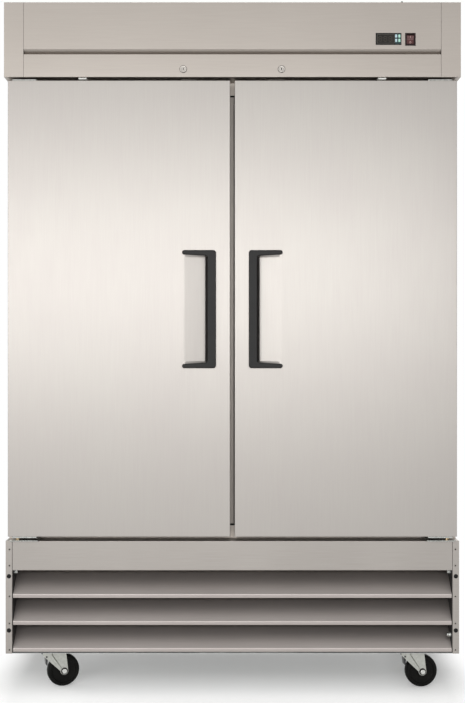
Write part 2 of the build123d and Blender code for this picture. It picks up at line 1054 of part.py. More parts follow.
def door_foam():
    """Foam core that fills the pan behind the pocket."""
    core = block(
        door_inner_edge + door_sheet,
        door_outer_edge - door_sheet,
        door_face + door_sheet,
        door_back - door_sheet,
        door_bottom + door_sheet,
        door_top - door_sheet,
    )
    core = core - pocket_tray() - lock_slot_in_door()
    core = core - pin_hole_in_door(door_top - pin_reach_into_door - 2, door_top)
    return core - pin_hole_in_door(door_bottom, door_bottom + pin_reach_into_door + 2)


def door_liner():
    return block(
        door_inner_edge + door_sheet,
        door_outer_edge - door_sheet,
        door_back - door_sheet,
        door_back,
        door_bottom + door_sheet,
        door_top - door_sheet,
    )


gasket_left = door_inner_edge + gasket_inset_at_centre
gasket_right = door_outer_edge - gasket_inset_at_hinge
gasket_low = door_bottom + gasket_inset_at_base
gasket_high = door_top - gasket_inset_at_top


def door_gasket():
    """Closed ring with a rounded sealing face, just short of the face frame."""
    ring = block(gasket_left, gasket_right, door_back, gasket_back, gasket_low, gasket_high)
    hole = block(
        gasket_left + gasket_width,
        gasket_right - gasket_width,
        door_back - 1,
        gasket_back + 1,
        gasket_low + gasket_width,
        gasket_high - gasket_width,
    )
    ring = ring - hole
    return fillet(ring.faces().sort_by(Axis.Y)[-1].edges(), 4.0)


def door_handle():
    """C-shaped handle: upright grip, two arms along the pocket's ends, and a flange down its wall."""
    front = door_face - handle_stand_out
    tip_low = handle_bottom + arm_thickness_at_tip
    tip_high = handle_top - arm_thickness_at_tip
    grip_outer = handle_inner + grip_width
    outline = [
        (handle_inner, handle_bottom),
        (handle_outer, handle_bottom),
        (handle_outer, tip_low),
        (grip_outer, handle_bottom + arm_thickness_at_grip),
        (grip_outer, handle_top - arm_thickness_at_grip),
        (handle_outer, tip_high),
        (handle_outer, handle_top),
        (handle_inner, handle_top),
    ]
    handle = prism_along_depth(outline, front, door_face)
    corners = handle.edges().filter_by(Axis.Y).filter_by(lambda e: abs(e.center().X - handle_inner) < 0.1)
    handle = fillet(corners, handle_corner_radius)
    tips = handle.edges().filter_by(Axis.Y).filter_by(lambda e: abs(e.center().X - handle_outer) < 0.1)
    handle = fillet(tips, arm_thickness_at_tip / 2 - 0.4)
    handle = fillet(handle.faces().sort_by(Axis.Y)[0].edges(), handle_edge_radius)
    flange = block(
        pocket_wall + pocket_side_gap,
        pocket_wall + pocket_side_gap + grip_flange,
        door_face - 1,
        door_face + pocket_depth - 2,
        pocket_low + 1,
        pocket_high - 1,
    )
    return handle + flange


# Inside the box

standard_bottom = interior_floor + standard_foot_gap
standard_top = opening_top - standard_head_gap
front_standard_depth = cabinet_face + front_standard_setback
rear_standard_depth = interior_back - rear_standard_inset
shelf_front_depth = mullion_back + shelf_gap_at_front
shelf_rear_depth = interior_back - shelf_gap_at_back


def shelf_standards():
    """Slotted upright strips on the side walls, behind the mullion and on the back wall."""
    count = int((standard_top - standard_bottom) / standard_pitch)
    half = standard_width / 2

    def strip(x0, x1, d0, d1, along_depth):
        bar = block(x0, x1, d0, d1, standard_bottom, standard_top)
        slots = []
        for i in range(count):
            z = standard_bottom + standard_pitch * (i + 0.5)
            low = z - standard_slot_height / 2
            high = z + standard_slot_height / 2
            if along_depth:
                middle = (d0 + d1) / 2
                slots.append(
                    block(
                        x0 - 1,
                        x1 + 1,
                        middle - standard_slot_width / 2,
                        middle + standard_slot_width / 2,
                        low,
                        high,
                    )
                )
            else:
                middle = (x0 + x1) / 2
                slots.append(
                    block(
                        middle - standard_slot_width / 2,
                        middle + standard_slot_width / 2,
                        d0 - 1,
                        d1 + 1,
                        low,
                        high,
                    )
                )
        return bar - slots

    strips = []
    for depth in (front_standard_depth, rear_standard_depth):
        strips += pair(
            strip(interior_half - standard_thickness, interior_half, depth - half, depth + half, True)
        )
    strips.append(strip(-half, half, mullion_back, mullion_back + standard_thickness, False))
    strips.append(strip(-half, half, interior_back - standard_thickness, interior_back, False))
    return strips


def shelf_clips():
    """Small brackets on the standards: side ones carry the outer wires, middle ones the end rods."""
    clips = []
    half = clip_width / 2
    for level in shelf_levels:
        top = level - 2 * wire_radius
        for depth in (front_standard_depth, rear_standard_depth):
            side = block(
                interior_half - standard_thickness - clip_reach,
                interior_half - standard_thickness,
                depth - half,
                depth + half,
                top - clip_height,
                top,
            )
            clips += pair(side)
        top = top - 2 * rod_radius + wire_bite
        front = mullion_back + standard_thickness
        rear = interior_back - standard_thickness
        span = shelf_gap_at_middle + clip_reach
        clips.append(block(-span, span, front, front + clip_reach, top - clip_height, top))
        clips.append(block(-span, span, rear - clip_reach, rear, top - clip_height, top))
    return clips


def shelf_supports():
    return shelf_standards() + shelf_clips()


def wire_shelf(level):
    """Right shelf, its wires' tops at the level: close wires from front to back over cross rods."""
    x0 = shelf_gap_at_middle
    x1 = interior_half - standard_thickness - shelf_gap_at_side
    rod_z = level - wire_radius * 2 - rod_radius + wire_bite
    wire_z = level - wire_radius
    inset = rod_radius + wire_radius
    first = shelf_front_depth + rod_radius
    rod_pitch = (shelf_rear_depth - rod_radius - first) / (cross_rods - 1)
    rods = [
        cylinder_across(first + rod_pitch * i, rod_z, x0, x1, rod_radius) for i in range(cross_rods)
    ]
    count = int((x1 - x0 - 2 * inset) / wire_pitch)
    pitch = (x1 - x0 - 2 * inset) / count
    wires = [
        cylinder_back(x0 + inset + pitch * i, wire_z, shelf_front_depth, shelf_rear_depth, wire_radius)
        for i in range(count + 1)
    ]
    return Part() + rods + wires


def wire_shelves():
    first = wire_shelf(shelf_levels[0])
    shelves = []
    for level in shelf_levels:
        shelf = first.moved(Location((0, 0, level - shelf_levels[0])))
        shelves += pair(shelf)
    return shelves


cover_half_width = interior_half - cover_side_gap
cover_front_depth = interior_back - cover_depth
cover_bottom = interior_ceiling - cover_height
cooling_fan_depth = cover_front_depth + cooling_fan_setback
coil_half_width = cover_half_width - coil_side_gap
coil_front_depth = interior_back - coil_gap_at_back - coil_depth
cooling_fan_z = cover_bottom + cover_height / 2


def evaporator_cover():
    """Sheet box hung from the ceiling: fan opening with a guard in front, return slots below."""
    half = cover_half_width
    shell = block(-half, half, cover_front_depth, interior_back, cover_bottom, interior_ceiling)
    inside = block(
        -half + cover_sheet,
        half - cover_sheet,
        cover_front_depth + cover_sheet,
        interior_back + 1,
        cover_bottom + cover_sheet,
        interior_ceiling + 1,
    )
    mouth = cooling_fan_radius + cooling_fan_clearance
    front = cover_front_depth
    rear = cover_front_depth + cover_sheet
    hole = cylinder_back(0, cooling_fan_z, front - 1, rear + 1, mouth)
    pitch = 2 * (half - 60) / return_slots
    slots = []
    for i in range(return_slots):
        x = -half + 60 + pitch * (i + 0.5)
        slots.append(
            block(
                x - return_slot_width / 2,
                x + return_slot_width / 2,
                interior_back - 30 - return_slot_length,
                interior_back - 30,
                cover_bottom - 1,
                cover_bottom + cover_sheet + 1,
            )
        )
    guard = []
    half_bar = guard_bar / 2
    for i in range(guard_rings):
        radius = mouth * (i + 1) / (guard_rings + 0.4)
        ring = cylinder_back(0, cooling_fan_z, front, rear, radius + half_bar)
        guard.append(ring - cylinder_back(0, cooling_fan_z, front - 1, rear + 1, radius - half_bar))
    low = cooling_fan_z - mouth - 1
    high = cooling_fan_z + mouth + 1
    guard.append(block(-half_bar, half_bar, front, rear, low, high))
    guard.append(
        block(-mouth - 1, mouth + 1, front, rear, cooling_fan_z - half_bar, cooling_fan_z + half_bar)
    )
    return shell - inside - hole - slots + guard


def fin_block(x0, x1, d0, d1, z0, z1, core):
    """Finned coil body: a flat core with thin plates square to x, standing out of both its faces."""
    middle = (z0 + z1) / 2
    count = int((x1 - x0) / fin_pitch)
    low = []
    high = []
    for i in range(count):
        left = x0 + fin_pitch * i
        right = left + fin_thickness
        low += [(left, z0), (right, z0), (right, middle - core / 2)]
        high += [(left, z1), (right, z1), (right, middle + core / 2)]
        if i < count - 1:
            low.append((left + fin_pitch, middle - core / 2))
            high.append((left + fin_pitch, middle + core / 2))
    return prism_along_depth(low + high[::-1], d0, d1)


def return_bend(x, depth, z, spacing, outwards, radius):
    """Half-round tube end that joins two passes of a coil above each other."""
    section = Plane(origin=(x, y_of(depth), z - spacing / 2), z_dir=(1, 0, 0)) * Circle(radius)
    axis = Axis((x, y_of(depth), z), (0, -outwards, 0))
    return revolve(section, axis, 180)


def evaporator_coil():
    """Finned block with return bends at both ends, on two feet."""
    z0 = cover_bottom + coil_lift
    z1 = z0 + coil_height
    d1 = coil_front_depth + coil_depth
    fins = fin_block(-coil_half_width, coil_half_width, coil_front_depth, d1, z0, z1, coil_core)
    middle = (z0 + z1) / 2
    feet = [
        block(x - 10, x + 10, coil_front_depth + 20, d1 - 20, cover_bottom + cover_sheet, z0 + 1)
        for x in (-coil_half_width + 0.5 * fin_pitch, coil_half_width - 1.5 * fin_pitch)
    ]
    last = -coil_half_width + fin_pitch * (int(2 * coil_half_width / fin_pitch) - 1) + fin_thickness
    bends = []
    for depth in (coil_front_depth + 30, d1 - 30):
        bends.append(return_bend(last, depth, middle + 35, 40, 1, coil_tube_radius))
        bends.append(return_bend(last, depth, middle - 35, 40, 1, coil_tube_radius))
        bends.append(return_bend(-coil_half_width, depth, middle + 35, 40, -1, coil_tube_radius))
        bends.append(return_bend(-coil_half_width, depth, middle - 35, 40, -1, coil_tube_radius))
    return fins + feet + bends


def light_bar():
    """Lamp strip on the inner face of the header wall."""
    body = block(
        -light_length / 2,
        light_length / 2,
        header_wall_back,
        header_wall_back + light_depth,
        opening_top + light_rise,
        opening_top + light_rise + light_height,
    )
    return fillet(body.faces().sort_by(Axis.Y)[-1].edges().filter_by(Axis.X), 5.0)


def axial_fan(x, z, front, length, radius, blades, sweep):
    """Hub with a running bore and pitched blades, turning about a front-to-back axis."""
    hub_radius = radius * 0.28
    hub = cylinder_back(x, z, front, front + length, hub_radius)
    middle = y_of(front + length / 2)
    chord = length * 1.7
    parts = []
    for i in range(blades):
        span = radius - hub_radius + 3
        blade = Box(span, chord, 1.6)
        blade = Rot(90 - sweep, 0, 0) * blade
        blade = Pos(hub_radius - 3 + span / 2, 0, 0) * blade
        parts.append(Pos(x, middle, z) * Rot(0, 360 / blades * i, 0) * blade)
    limit = cylinder_back(x, z, front, front + length, radius)
    fan = hub + [part & limit for part in parts]
    return fan - cylinder_back(x, z, front - 1, front + length + 1, shaft_radius + shaft_clearance)


def cooling_fan():
    return axial_fan(0, cooling_fan_z, cooling_fan_depth, cooling_fan_length, cooling_fan_radius, 5, 32)


condenser_left = condenser_from_side - inner_half
condenser_right = condenser_left + condenser_width
condenser_front_depth = base_face + condenser_setback
condenser_back = condenser_front_depth + condenser_depth
condenser_bottom = pan_top + condenser_lift
condenser_top = condenser_bottom + condenser_height
condenser_fan_x = (condenser_left + condenser_right) / 2
condenser_fan_z = (condenser_bottom + condenser_top) / 2
condenser_fan_front = condenser_back + 6


def condenser_fan():
    return axial_fan(
        condenser_fan_x,
        condenser_fan_z,
        condenser_fan_front,
        condenser_fan_length,
        condenser_fan_radius,
        5,
        30,
    )


def fan_motors():
    """Evaporator and condenser fan motors with their shafts and mounting bars."""

    def motor(x, z, fan_front, fan_length, radius, length, bar_low, bar_high):
        front = fan_front + fan_length + motor_gap
        body = cylinder_back(x, z, front, front + length, radius)
        body = fillet(body.edges().filter_by(GeomType.CIRCLE), 3.0)
        shaft = cylinder_back(x, z, fan_front + 1, front + 1, shaft_radius)
        bar = block(x - 10, x + 10, front + length - 1, front + length + 2, bar_low, bar_high)
        return body + shaft + bar

    cooling = motor(
        0,
        cooling_fan_z,
        cooling_fan_depth,
        cooling_fan_length,
        cooling_motor_radius,
        cooling_motor_length,
        cover_bottom + cover_sheet,
        interior_ceiling,
    )
    outside = motor(
        condenser_fan_x,
        condenser_fan_z,
        condenser_fan_front,
        condenser_fan_length,
        condenser_motor_radius,
        condenser_motor_length,
        pan_top,
        condenser_top,
    )
    return [cooling, outside]


def condenser():
    """Finned block with return bends, and the fan shroud behind it as a separate solid."""
    fins = fin_block(
        condenser_left,
        condenser_right,
        condenser_front_depth,
        condenser_back,
        condenser_bottom,
        condenser_top,
        coil_core * 2,
    )
    bends = []
    middle = (condenser_front_depth + condenser_back) / 2
    last = condenser_left + fin_pitch * (int(condenser_width / fin_pitch) - 1) + fin_thickness
    for step in (-1, 0, 1):
        z = condenser_fan_z + step * 70
        bends.append(return_bend(last, middle, z, 40, 1, coil_tube_radius))
        bends.append(return_bend(condenser_left, middle, z, 40, -1, coil_tube_radius))
    foot_front = condenser_front_depth + 10
    foot_back = condenser_back - 10
    feet = [
        block(x - 8, x + 8, foot_front, foot_back, pan_top, condenser_bottom + 1)
        for x in (condenser_left + 0.5 * fin_pitch, condenser_right - 1.5 * fin_pitch)
    ]
    shroud = block(
        condenser_left,
        condenser_right,
        condenser_back,
        condenser_back + shroud_depth,
        condenser_bottom,
        condenser_top,
    )
    inside = block(
        condenser_left + shroud_sheet,
        condenser_right - shroud_sheet,
        condenser_back - 1,
        condenser_back + shroud_depth - shroud_sheet,
        condenser_bottom + shroud_sheet,
        condenser_top - shroud_sheet,
    )
    mouth = cylinder_back(
        condenser_fan_x,
        condenser_fan_z,
        condenser_back,
        condenser_back + shroud_depth + 1,
        condenser_fan_radius + condenser_fan_clearance,
    )
    return [fins + bends + feet, shroud - inside - mouth]


compressor_x = inner_half - compressor_from_side
compressor_depth = back_inside - compressor_from_back
compressor_bottom = pan_top + compressor_lift
compressor_top = compressor_bottom + compressor_height
discharge_z = compressor_bottom + 120
suction_z = compressor_bottom + 110


def compressor():
    """Welded shell with domed ends, seam band, feet plate, terminal cover and stubs, on rubber grommets."""
    z0 = compressor_bottom
    z1 = compressor_top
    r = compressor_radius
    shell = cylinder_up(compressor_x, compressor_depth, z0 + 4, z1, r)
    shell = fillet(shell.edges().filter_by(GeomType.CIRCLE), r * 0.42)
    band_z = z0 + compressor_height * 0.55
    band = cylinder_up(compressor_x, compressor_depth, band_z - 3, band_z + 3, r + 3)
    foot_half = r + 12
    feet = block(
        compressor_x - foot_half,
        compressor_x + foot_half,
        compressor_depth - r * 0.75,
        compressor_depth + r * 0.75,
        z0,
        z0 + 5,
    )
    terminals = block(
        compressor_x + r - 8,
        compressor_x + r + 32,
        compressor_depth - 35,
        compressor_depth + 35,
        z0 + 60,
        z0 + 140,
    )
    discharge_stub = cylinder_across(
        compressor_depth, discharge_z, compressor_x - r - stub_length, compressor_x - r + 5, stub_radius
    )
    suction_stub = cylinder_back(
        compressor_x, suction_z, compressor_depth + r - 5, compressor_depth + r + stub_length, stub_radius
    )
    grommets = []
    for x in (compressor_x - foot_half + 16, compressor_x + foot_half - 16):
        for depth in (compressor_depth - r * 0.75 + 16, compressor_depth + r * 0.75 - 16):
            grommets.append(cylinder_up(x, depth, pan_top, z0, grommet_radius))
    return [shell + band + feet + terminals + discharge_stub + suction_stub] + grommets


def tube(points, radius, bend):
    """Round tube along straight runs joined by tangent arcs."""
    path = FilletPolyline(*points, radius=bend) if len(points) > 2 else Line(*points)
    start = path @ 0
    section = Plane(origin=start, z_dir=path % 0) * Circle(radius)
    return sweep(section, path=path)


def copper_lines():
    """Discharge, liquid and suction lines with the filter drier, as they run in the base."""
    stub_end = compressor_x - compressor_radius - stub_length
    rise_x = stub_end - 50
    high = condenser_fan_z + 112
    low = condenser_fan_z - 112
    middle = (condenser_front_depth + condenser_back) / 2
    fin_end = condenser_left + fin_pitch * (int(condenser_width / fin_pitch) - 1) + fin_thickness
    rear = compressor_depth + compressor_radius + 90
    discharge = tube(
        [
            (stub_end, y_of(compressor_depth), discharge_z),
            (rise_x, y_of(compressor_depth), discharge_z),
            (rise_x, y_of(compressor_depth), high),
            (rise_x, y_of(middle), high),
            (fin_end, y_of(middle), high),
        ],
        line_radius,
        line_bend,
    )
    liquid_x = fin_end + 40
    drier_start = middle + 90
    drier_end = drier_start + drier_length
    liquid = tube(
        [
            (fin_end, y_of(middle), low),
            (liquid_x, y_of(middle), low),
            (liquid_x, y_of(rear), low),
            (liquid_x, y_of(rear), deck_under),
        ],
        line_radius,
        line_bend,
    )
    drier = cylinder_back(liquid_x, low, drier_start, drier_end, drier_radius)
    drier = fillet(drier.edges().filter_by(GeomType.CIRCLE), drier_radius * 0.45)
    suction = tube(
        [
            (compressor_x, y_of(compressor_depth + compressor_radius + stub_length), suction_z),
            (compressor_x, y_of(rear), suction_z),
            (compressor_x, y_of(rear), deck_under),
        ],
        suction_radius,
        suction_bend,
    )
    return [discharge, liquid + drier, suction]


box_left = inner_half - box_from_side
gland_x = box_left + box_width / 2
gland_z = pan_top + box_height / 2


def electrical_box():
    """Folded box on the pan with the power inlet gland through the back panel."""
    rear = back_inside - box_gap_at_back
    front = rear - box_depth
    z0 = pan_top
    shell = block(box_left, box_left + box_width, front, rear, z0, z0 + box_height)
    inside = block(
        box_left + box_sheet,
        box_left + box_width - box_sheet,
        front + box_sheet,
        rear - box_sheet,
        z0 + box_sheet,
        z0 + box_height - box_sheet,
    )
    gland = cylinder_back(gland_x, gland_z, rear - box_sheet, overall_depth, gland_radius)
    bore = cylinder_back(gland_x, gland_z, rear - 20, overall_depth + 1, gland_bore)
    return shell - inside + gland - bore


# Base


def base_frame():
    """Bottom pan, deck under the insulated box, two front posts and two rear posts."""
    pan = block(-inner_half, inner_half, base_face + post_sheet, back_inside, base_bottom, pan_top)
    deck = block(-inner_half, inner_half, frame_back, back_inside, deck_under, box_bottom)
    inner = half_width - post_width
    post_top = base_top - outer_sheet
    path = [
        (inner, base_face + post_depth),
        (inner, base_face),
        (half_width, base_face),
    ]
    outline = sheet_outline(path, -post_sheet)
    bottom = pan_top
    front_post = prism_upwards(outline, bottom, post_top)
    toe = block(inner, half_width, base_face, base_face + post_sheet, base_bottom, bottom + 1)
    cap = block(inner, half_width, base_face, base_face + post_sheet, post_top - 1, base_top)
    ledge = block(
        inner, inner_half, base_face, cabinet_face - 0.2, post_top, base_top
    )
    holes = [
        cylinder_back(
            half_width - post_width / 2,
            base_bottom + rise,
            base_face - 1,
            base_face + post_sheet + 1,
            plug_radius - 1,
        )
        for rise in plug_rises
    ]
    front_post = front_post + toe + cap + ledge - holes
    rear_post = block(
        inner_half - 30, inner_half, back_inside - 30, back_inside, bottom, deck_under
    )
    rear_hollow = block(
        inner_half - 31,
        inner_half - post_sheet,
        back_inside - 31,
        back_inside - post_sheet,
        bottom - 1,
        box_bottom,
    )
    return [pan, deck] + pair(front_post) + pair(rear_post - rear_hollow)


def base_front_strip():
    """Sheet above the louvres: bottom return, face, and the ledge that runs back to the cabinet."""
    half = half_width - post_width - panel_joint / 2
    low = base_top - strip_height
    path = [
        (base_face + strip_return, low),
        (base_face, low),
        (base_face, base_top),
        (cabinet_face - 0.2, base_top),
    ]
    return prism_along_x(sheet_outline(path, outer_sheet), -half, half)


def louvre_panel():
    """Sloping blades with upright lips, and the two plates that hold their ends."""
    half = half_width - post_width - panel_joint / 2
    inner = half - blade_end_plate - blade_end_gap
    blades = []
    for i in range(blade_count):
        lip_top = base_bottom + lowest_lip_rise + blade_pitch * i
        path = [
            (base_face + lip_hem, lip_top - lip_height),
            (base_face, lip_top - lip_height),
            (base_face, lip_top),
            (base_face + blade_run, lip_top + blade_rise),
        ]
        blades.append(prism_along_x(sheet_outline(path, blade_sheet), -inner, inner))
    end = block(
        half - blade_end_plate,
        half,
        base_face + post_sheet + 1,
        base_face + blade_run + 10,
        pan_top,
        base_top - strip_height - 1,
    )
    return blades + pair(end)


# Casters, drawn trailing to the right and then turned about their swivel axis


def caster_place(name):
    front, side = name.split("_")
    x = half_width - caster_from_side
    depth = base_face + front_caster_setback if front == "front" else overall_depth - rear_caster_from_back
    return (x if side == "right" else -x), y_of(depth)


def placed(shape, name):
    x, y = caster_place(name)
    return Pos(x, y, 0) * Rot(0, 0, caster_turns[name]) * shape


fork_inner = wheel_width / 2 + fork_side_gap
pedal_pivot_x = caster_trail - wheel_radius - pedal_wheel_gap
pedal_pivot_z = fork_under - pedal_pivot_drop
fork_front = pedal_pivot_x - fork_lip


def caster_plates():
    """Mounting plate with raceway and kingpin; the four are alike and don't turn."""
    plate = Pos(0, 0, plate_low + caster_plate_thickness / 2) * Box(
        caster_plate_length, caster_plate_width, caster_plate_thickness
    )
    plate = fillet(plate.edges().filter_by(Axis.Z), 6.0)
    race = Pos(0, 0, race_low + raceway_height / 2) * Cylinder(raceway_radius, raceway_height)
    pin_low = fork_under - swivel_gap - kingpin_head_height
    pin = Pos(0, 0, (race_low + 1 + pin_low) / 2) * Cylinder(kingpin_radius, race_low + 1 - pin_low)
    head = Pos(0, 0, pin_low + kingpin_head_height / 2) * Cylinder(kingpin_head_radius, kingpin_head_height)
    caster_top = plate + race + pin + head
    places = []
    for name in caster_turns:
        x, y = caster_place(name)
        places.append(caster_top.moved(Location((x, y, 0))))
    return places


def caster_fork(name):
    """Bent fork with two tapering legs, the axle bolt through it, and its nut end."""
    outer = fork_inner + fork_sheet
    end = fork_end_radius
    x_axle = caster_trail
    shoulder = wheel_radius * 2 + 2
    leg = [
        (fork_front, fork_top),
        (fork_front, shoulder),
        (x_axle - end * 0.92, axle_height - end * 0.38),
        (x_axle + end, axle_height),
        (fork_rear_length, shoulder),
        (fork_rear_length, fork_top),
    ]
    legs = prism([(x, -outer, z) for x, z in leg], (0, 2 * outer, 0))
    legs = legs + Pos(x_axle, 0, axle_height) * Rot(90, 0, 0) * Cylinder(end, 2 * outer)
    gap = Pos(0, 0, fork_under / 2) * Box(6 * wheel_radius, 2 * fork_inner, fork_under)
    pin_hole = Pos(0, 0, fork_top) * Cylinder(kingpin_radius + kingpin_clearance, 4 * fork_sheet)
    axle_hole = Pos(x_axle, 0, axle_height) * Rot(90, 0, 0) * Cylinder(axle_radius, 4 * outer)
    pedal_hole = Pos(pedal_pivot_x, 0, pedal_pivot_z) * Rot(90, 0, 0) * Cylinder(
        pedal_pivot_radius + pedal_pivot_clearance, 4 * outer
    )
    fork = legs - gap - pin_hole - axle_hole
    if name.startswith("front"):
        fork = fork - pedal_hole
    length = 2 * outer + 2 * axle_head_length
    shank = Pos(x_axle, 0, axle_height) * Rot(90, 0, 0) * Cylinder(axle_radius, 2 * outer)
    head = Pos(x_axle, 0, axle_height) * Rot(90, 0, 0) * Cylinder(axle_head_radius, length)
    middle = Pos(x_axle, 0, axle_height) * Box(4 * axle_head_radius, 2 * outer, 4 * axle_head_radius)
    bolt = head - middle + shank
    return [placed(fork, name), placed(bolt, name)]


def caster_wheel(name):
    """Solid wheel turned from one profile: tread, recessed web and hub with a running bore."""
    r = wheel_radius
    half = wheel_width / 2
    hub = half + fork_side_gap - hub_side_gap
    bore = axle_radius + axle_clearance
    outline = [
        (bore, -hub),
        (15, -hub),
        (17, -half + 4),
        (r - 12, -half + 4),
        (r - 9, -half),
        (r - 2, -half),
        (r, -half + 2),
        (r, half - 2),
        (r - 2, half),
        (r - 9, half),
        (r - 12, half - 4),
        (17, half - 4),
        (15, hub),
        (bore, hub),
    ]
    profile = Face(Wire.make_polygon([(caster_trail + a, b, axle_height) for a, b in outline]))
    wheel = revolve(profile, Axis((caster_trail, 0, axle_height), (0, 1, 0)))
    return placed(wheel, name)


def brake_pedal(name):
    """Foot lever at the leading end of the fork: tread plate, shoe over the wheel, and pivot pin."""
    x = pedal_pivot_x
    z = pedal_pivot_z
    outline = [
        (x + 3.4, z - 28),
        (x + 4.4, z - 14),
        (x + 5.5, z + 2),
        (x - 2, z + 8),
        (x - 19, z + 15.5),
        (x - 32, z + 21),
        (x - 33, z + 21 - pedal_thickness),
        (x - 20, z + 15.5 - pedal_thickness),
        (x - 5.5, z + 2.5),
        (x - 4.5, z - 8),
        (x - 1, z - 28),
    ]
    half = pedal_width / 2
    lever = prism([(a, -half, b) for a, b in outline], (0, 2 * half, 0))
    pin_half = fork_inner + fork_sheet
    pin = Pos(x, 0, z) * Rot(90, 0, 0) * Cylinder(pedal_pivot_radius, 2 * pin_half)
    return placed(lever + pin, name)


# Every node of the assembly

nodes = {
    "side_panels": lambda: pair(side_panel()),
    "back_panel": back_panel,
    "top_panel": top_panel,
    "insulation_foam": insulation,
    "inner_liner": inner_liner,
    "face_frame": face_frame,
    "centre_mullion": centre_mullion,
    "header_fascia": header_fascia,
    "header_rail": header_rail,
    "control_cases": lambda: [controller_case(), rocker_case()],
    "rocker_paddle": rocker_paddle,
    "lock_barrels": lambda: [piece for solid in lock_barrels() for piece in pair(solid)],
    "lock_plug_left": lambda: mirrored(lock_plug()),
    "lock_plug_right": lock_plug,
    "door_switches": lambda: pair(door_switches()),
    "hinge_brackets": hinge_brackets,
    "hinge_cartridges": lambda: pair(hinge_cartridges()),
    "shelf_supports": shelf_supports,
    "wire_shelves": wire_shelves,
    "evaporator_cover": evaporator_cover,
    "evaporator_coil": evaporator_coil,
    "evaporator_fan": cooling_fan,
    "fan_motors": fan_motors,
    "light_bar": light_bar,
    "base_frame": base_frame,
    "base_front_strip": base_front_strip,
    "louvre_panel": louvre_panel,
    "hole_plugs": hole_plugs,
    "compressor": compressor,
    "condenser": condenser,
    "condenser_fan": condenser_fan,
    "copper_lines": copper_lines,
    "electrical_box": electrical_box,
    "caster_plates": caster_plates,
}

button_number = 0
for column in button_columns:
    for row in button_rows:
        button_number += 1
        nodes[f"push_button_{button_number}"] = lambda x=column, z=row: push_button(x, z)

door_pieces = {
    "door_skin": door_skin,
    "door_foam": door_foam,
    "door_liner": door_liner,
    "door_gasket": door_gasket,
    "door_handle": door_handle,
    "hinge_leaves": hinge_leaves,
}
for piece, make in door_pieces.items():
    nodes[f"{piece}_right"] = make
    nodes[f"{piece}_left"] = lambda make=make: [mirrored(Part() + s) for s in solids_in(make())]

for caster in caster_turns:
    nodes[f"caster_fork_{caster}"] = lambda caster=caster: caster_fork(caster)
    nodes[f"caster_wheel_{caster}"] = lambda caster=caster: caster_wheel(caster)
    if caster.startswith("front"):
        nodes[f"brake_pedal_{caster}"] = lambda caster=caster: brake_pedal(caster)


def write_nodes():
    os.makedirs("parts", exist_ok=True)
    for name, make in nodes.items():
        solids = solids_in(make())
        shape = Compound(solids) if len(solids) > 1 else solids[0]
        export_step(shape, f"parts/{name}.step")


write_nodes()
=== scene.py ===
import json
from math import cos, radians, sin

import bmesh
import bpy
import numpy as np
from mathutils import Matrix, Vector


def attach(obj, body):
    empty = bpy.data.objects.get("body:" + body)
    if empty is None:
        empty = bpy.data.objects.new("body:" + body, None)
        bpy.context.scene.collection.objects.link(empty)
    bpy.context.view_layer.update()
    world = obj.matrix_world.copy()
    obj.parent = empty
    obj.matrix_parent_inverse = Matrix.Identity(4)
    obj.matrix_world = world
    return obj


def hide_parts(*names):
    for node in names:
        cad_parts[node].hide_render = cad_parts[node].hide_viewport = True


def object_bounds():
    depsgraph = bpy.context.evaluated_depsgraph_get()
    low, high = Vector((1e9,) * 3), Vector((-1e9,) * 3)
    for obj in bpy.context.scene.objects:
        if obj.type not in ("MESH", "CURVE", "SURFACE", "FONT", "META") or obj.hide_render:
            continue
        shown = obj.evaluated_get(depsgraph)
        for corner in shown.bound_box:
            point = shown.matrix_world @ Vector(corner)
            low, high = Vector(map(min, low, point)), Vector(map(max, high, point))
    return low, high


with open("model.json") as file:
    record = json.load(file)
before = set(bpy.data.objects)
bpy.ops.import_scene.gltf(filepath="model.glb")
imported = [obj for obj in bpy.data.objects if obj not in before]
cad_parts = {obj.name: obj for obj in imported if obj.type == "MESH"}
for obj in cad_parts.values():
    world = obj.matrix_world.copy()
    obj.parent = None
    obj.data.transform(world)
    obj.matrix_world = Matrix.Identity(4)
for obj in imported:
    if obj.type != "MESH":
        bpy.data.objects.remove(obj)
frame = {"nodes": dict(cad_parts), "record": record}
cad_low, cad_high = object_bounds()
nodes = frame["nodes"]
bodies = frame["record"]["behaviour"]["bodies"]
body_of = {node: body for body, members in bodies.items() for node in members}
slot_of = {part["node"]: part["material_slot"] for part in frame["record"]["subparts"]}

# Shapes are drawn in millimetres as (x, depth, height): x to the right of the middle, depth behind the
# foremost plane of the object, height above the floor. piece() turns them into metres in the CAD frame.
MM = 0.001
front_plane = cad_low.y
half_width = 686.0
overall_height = 2091.0
header_face = 2.5
header_bottom = 1866.0
base_top = 469.2
base_bottom = 128.0
cabinet_back = 818.7
outer_sheet = 1.2
panel_bend = 2.2


# The photograph's frame and camera: the camera is level, in front of the middle of the cabinet

photo_width, photo_height = 465, 703
camera_distance = 3.2
camera_height = 1.042
focal_pixels = 1066
object_centre_pixel = 232.4
sensor = 36.0


def make_camera():
    data = bpy.data.cameras.new("camera")
    data.sensor_width = sensor
    data.lens = focal_pixels / photo_height * sensor
    data.clip_end = 100
    camera = bpy.data.objects.new("camera", data)
    side = (photo_width / 2 - object_centre_pixel) * camera_distance / focal_pixels
    camera.location = (side, front_plane + header_face * MM - camera_distance, camera_height)
    camera.rotation_euler = (radians(90), 0, 0)
    bpy.context.scene.collection.objects.link(camera)
    bpy.context.scene.camera = camera


# Surfaces. A shell is (points, quads, caps): an array of points, an array of four-sided faces and a list
# of many-sided end faces.


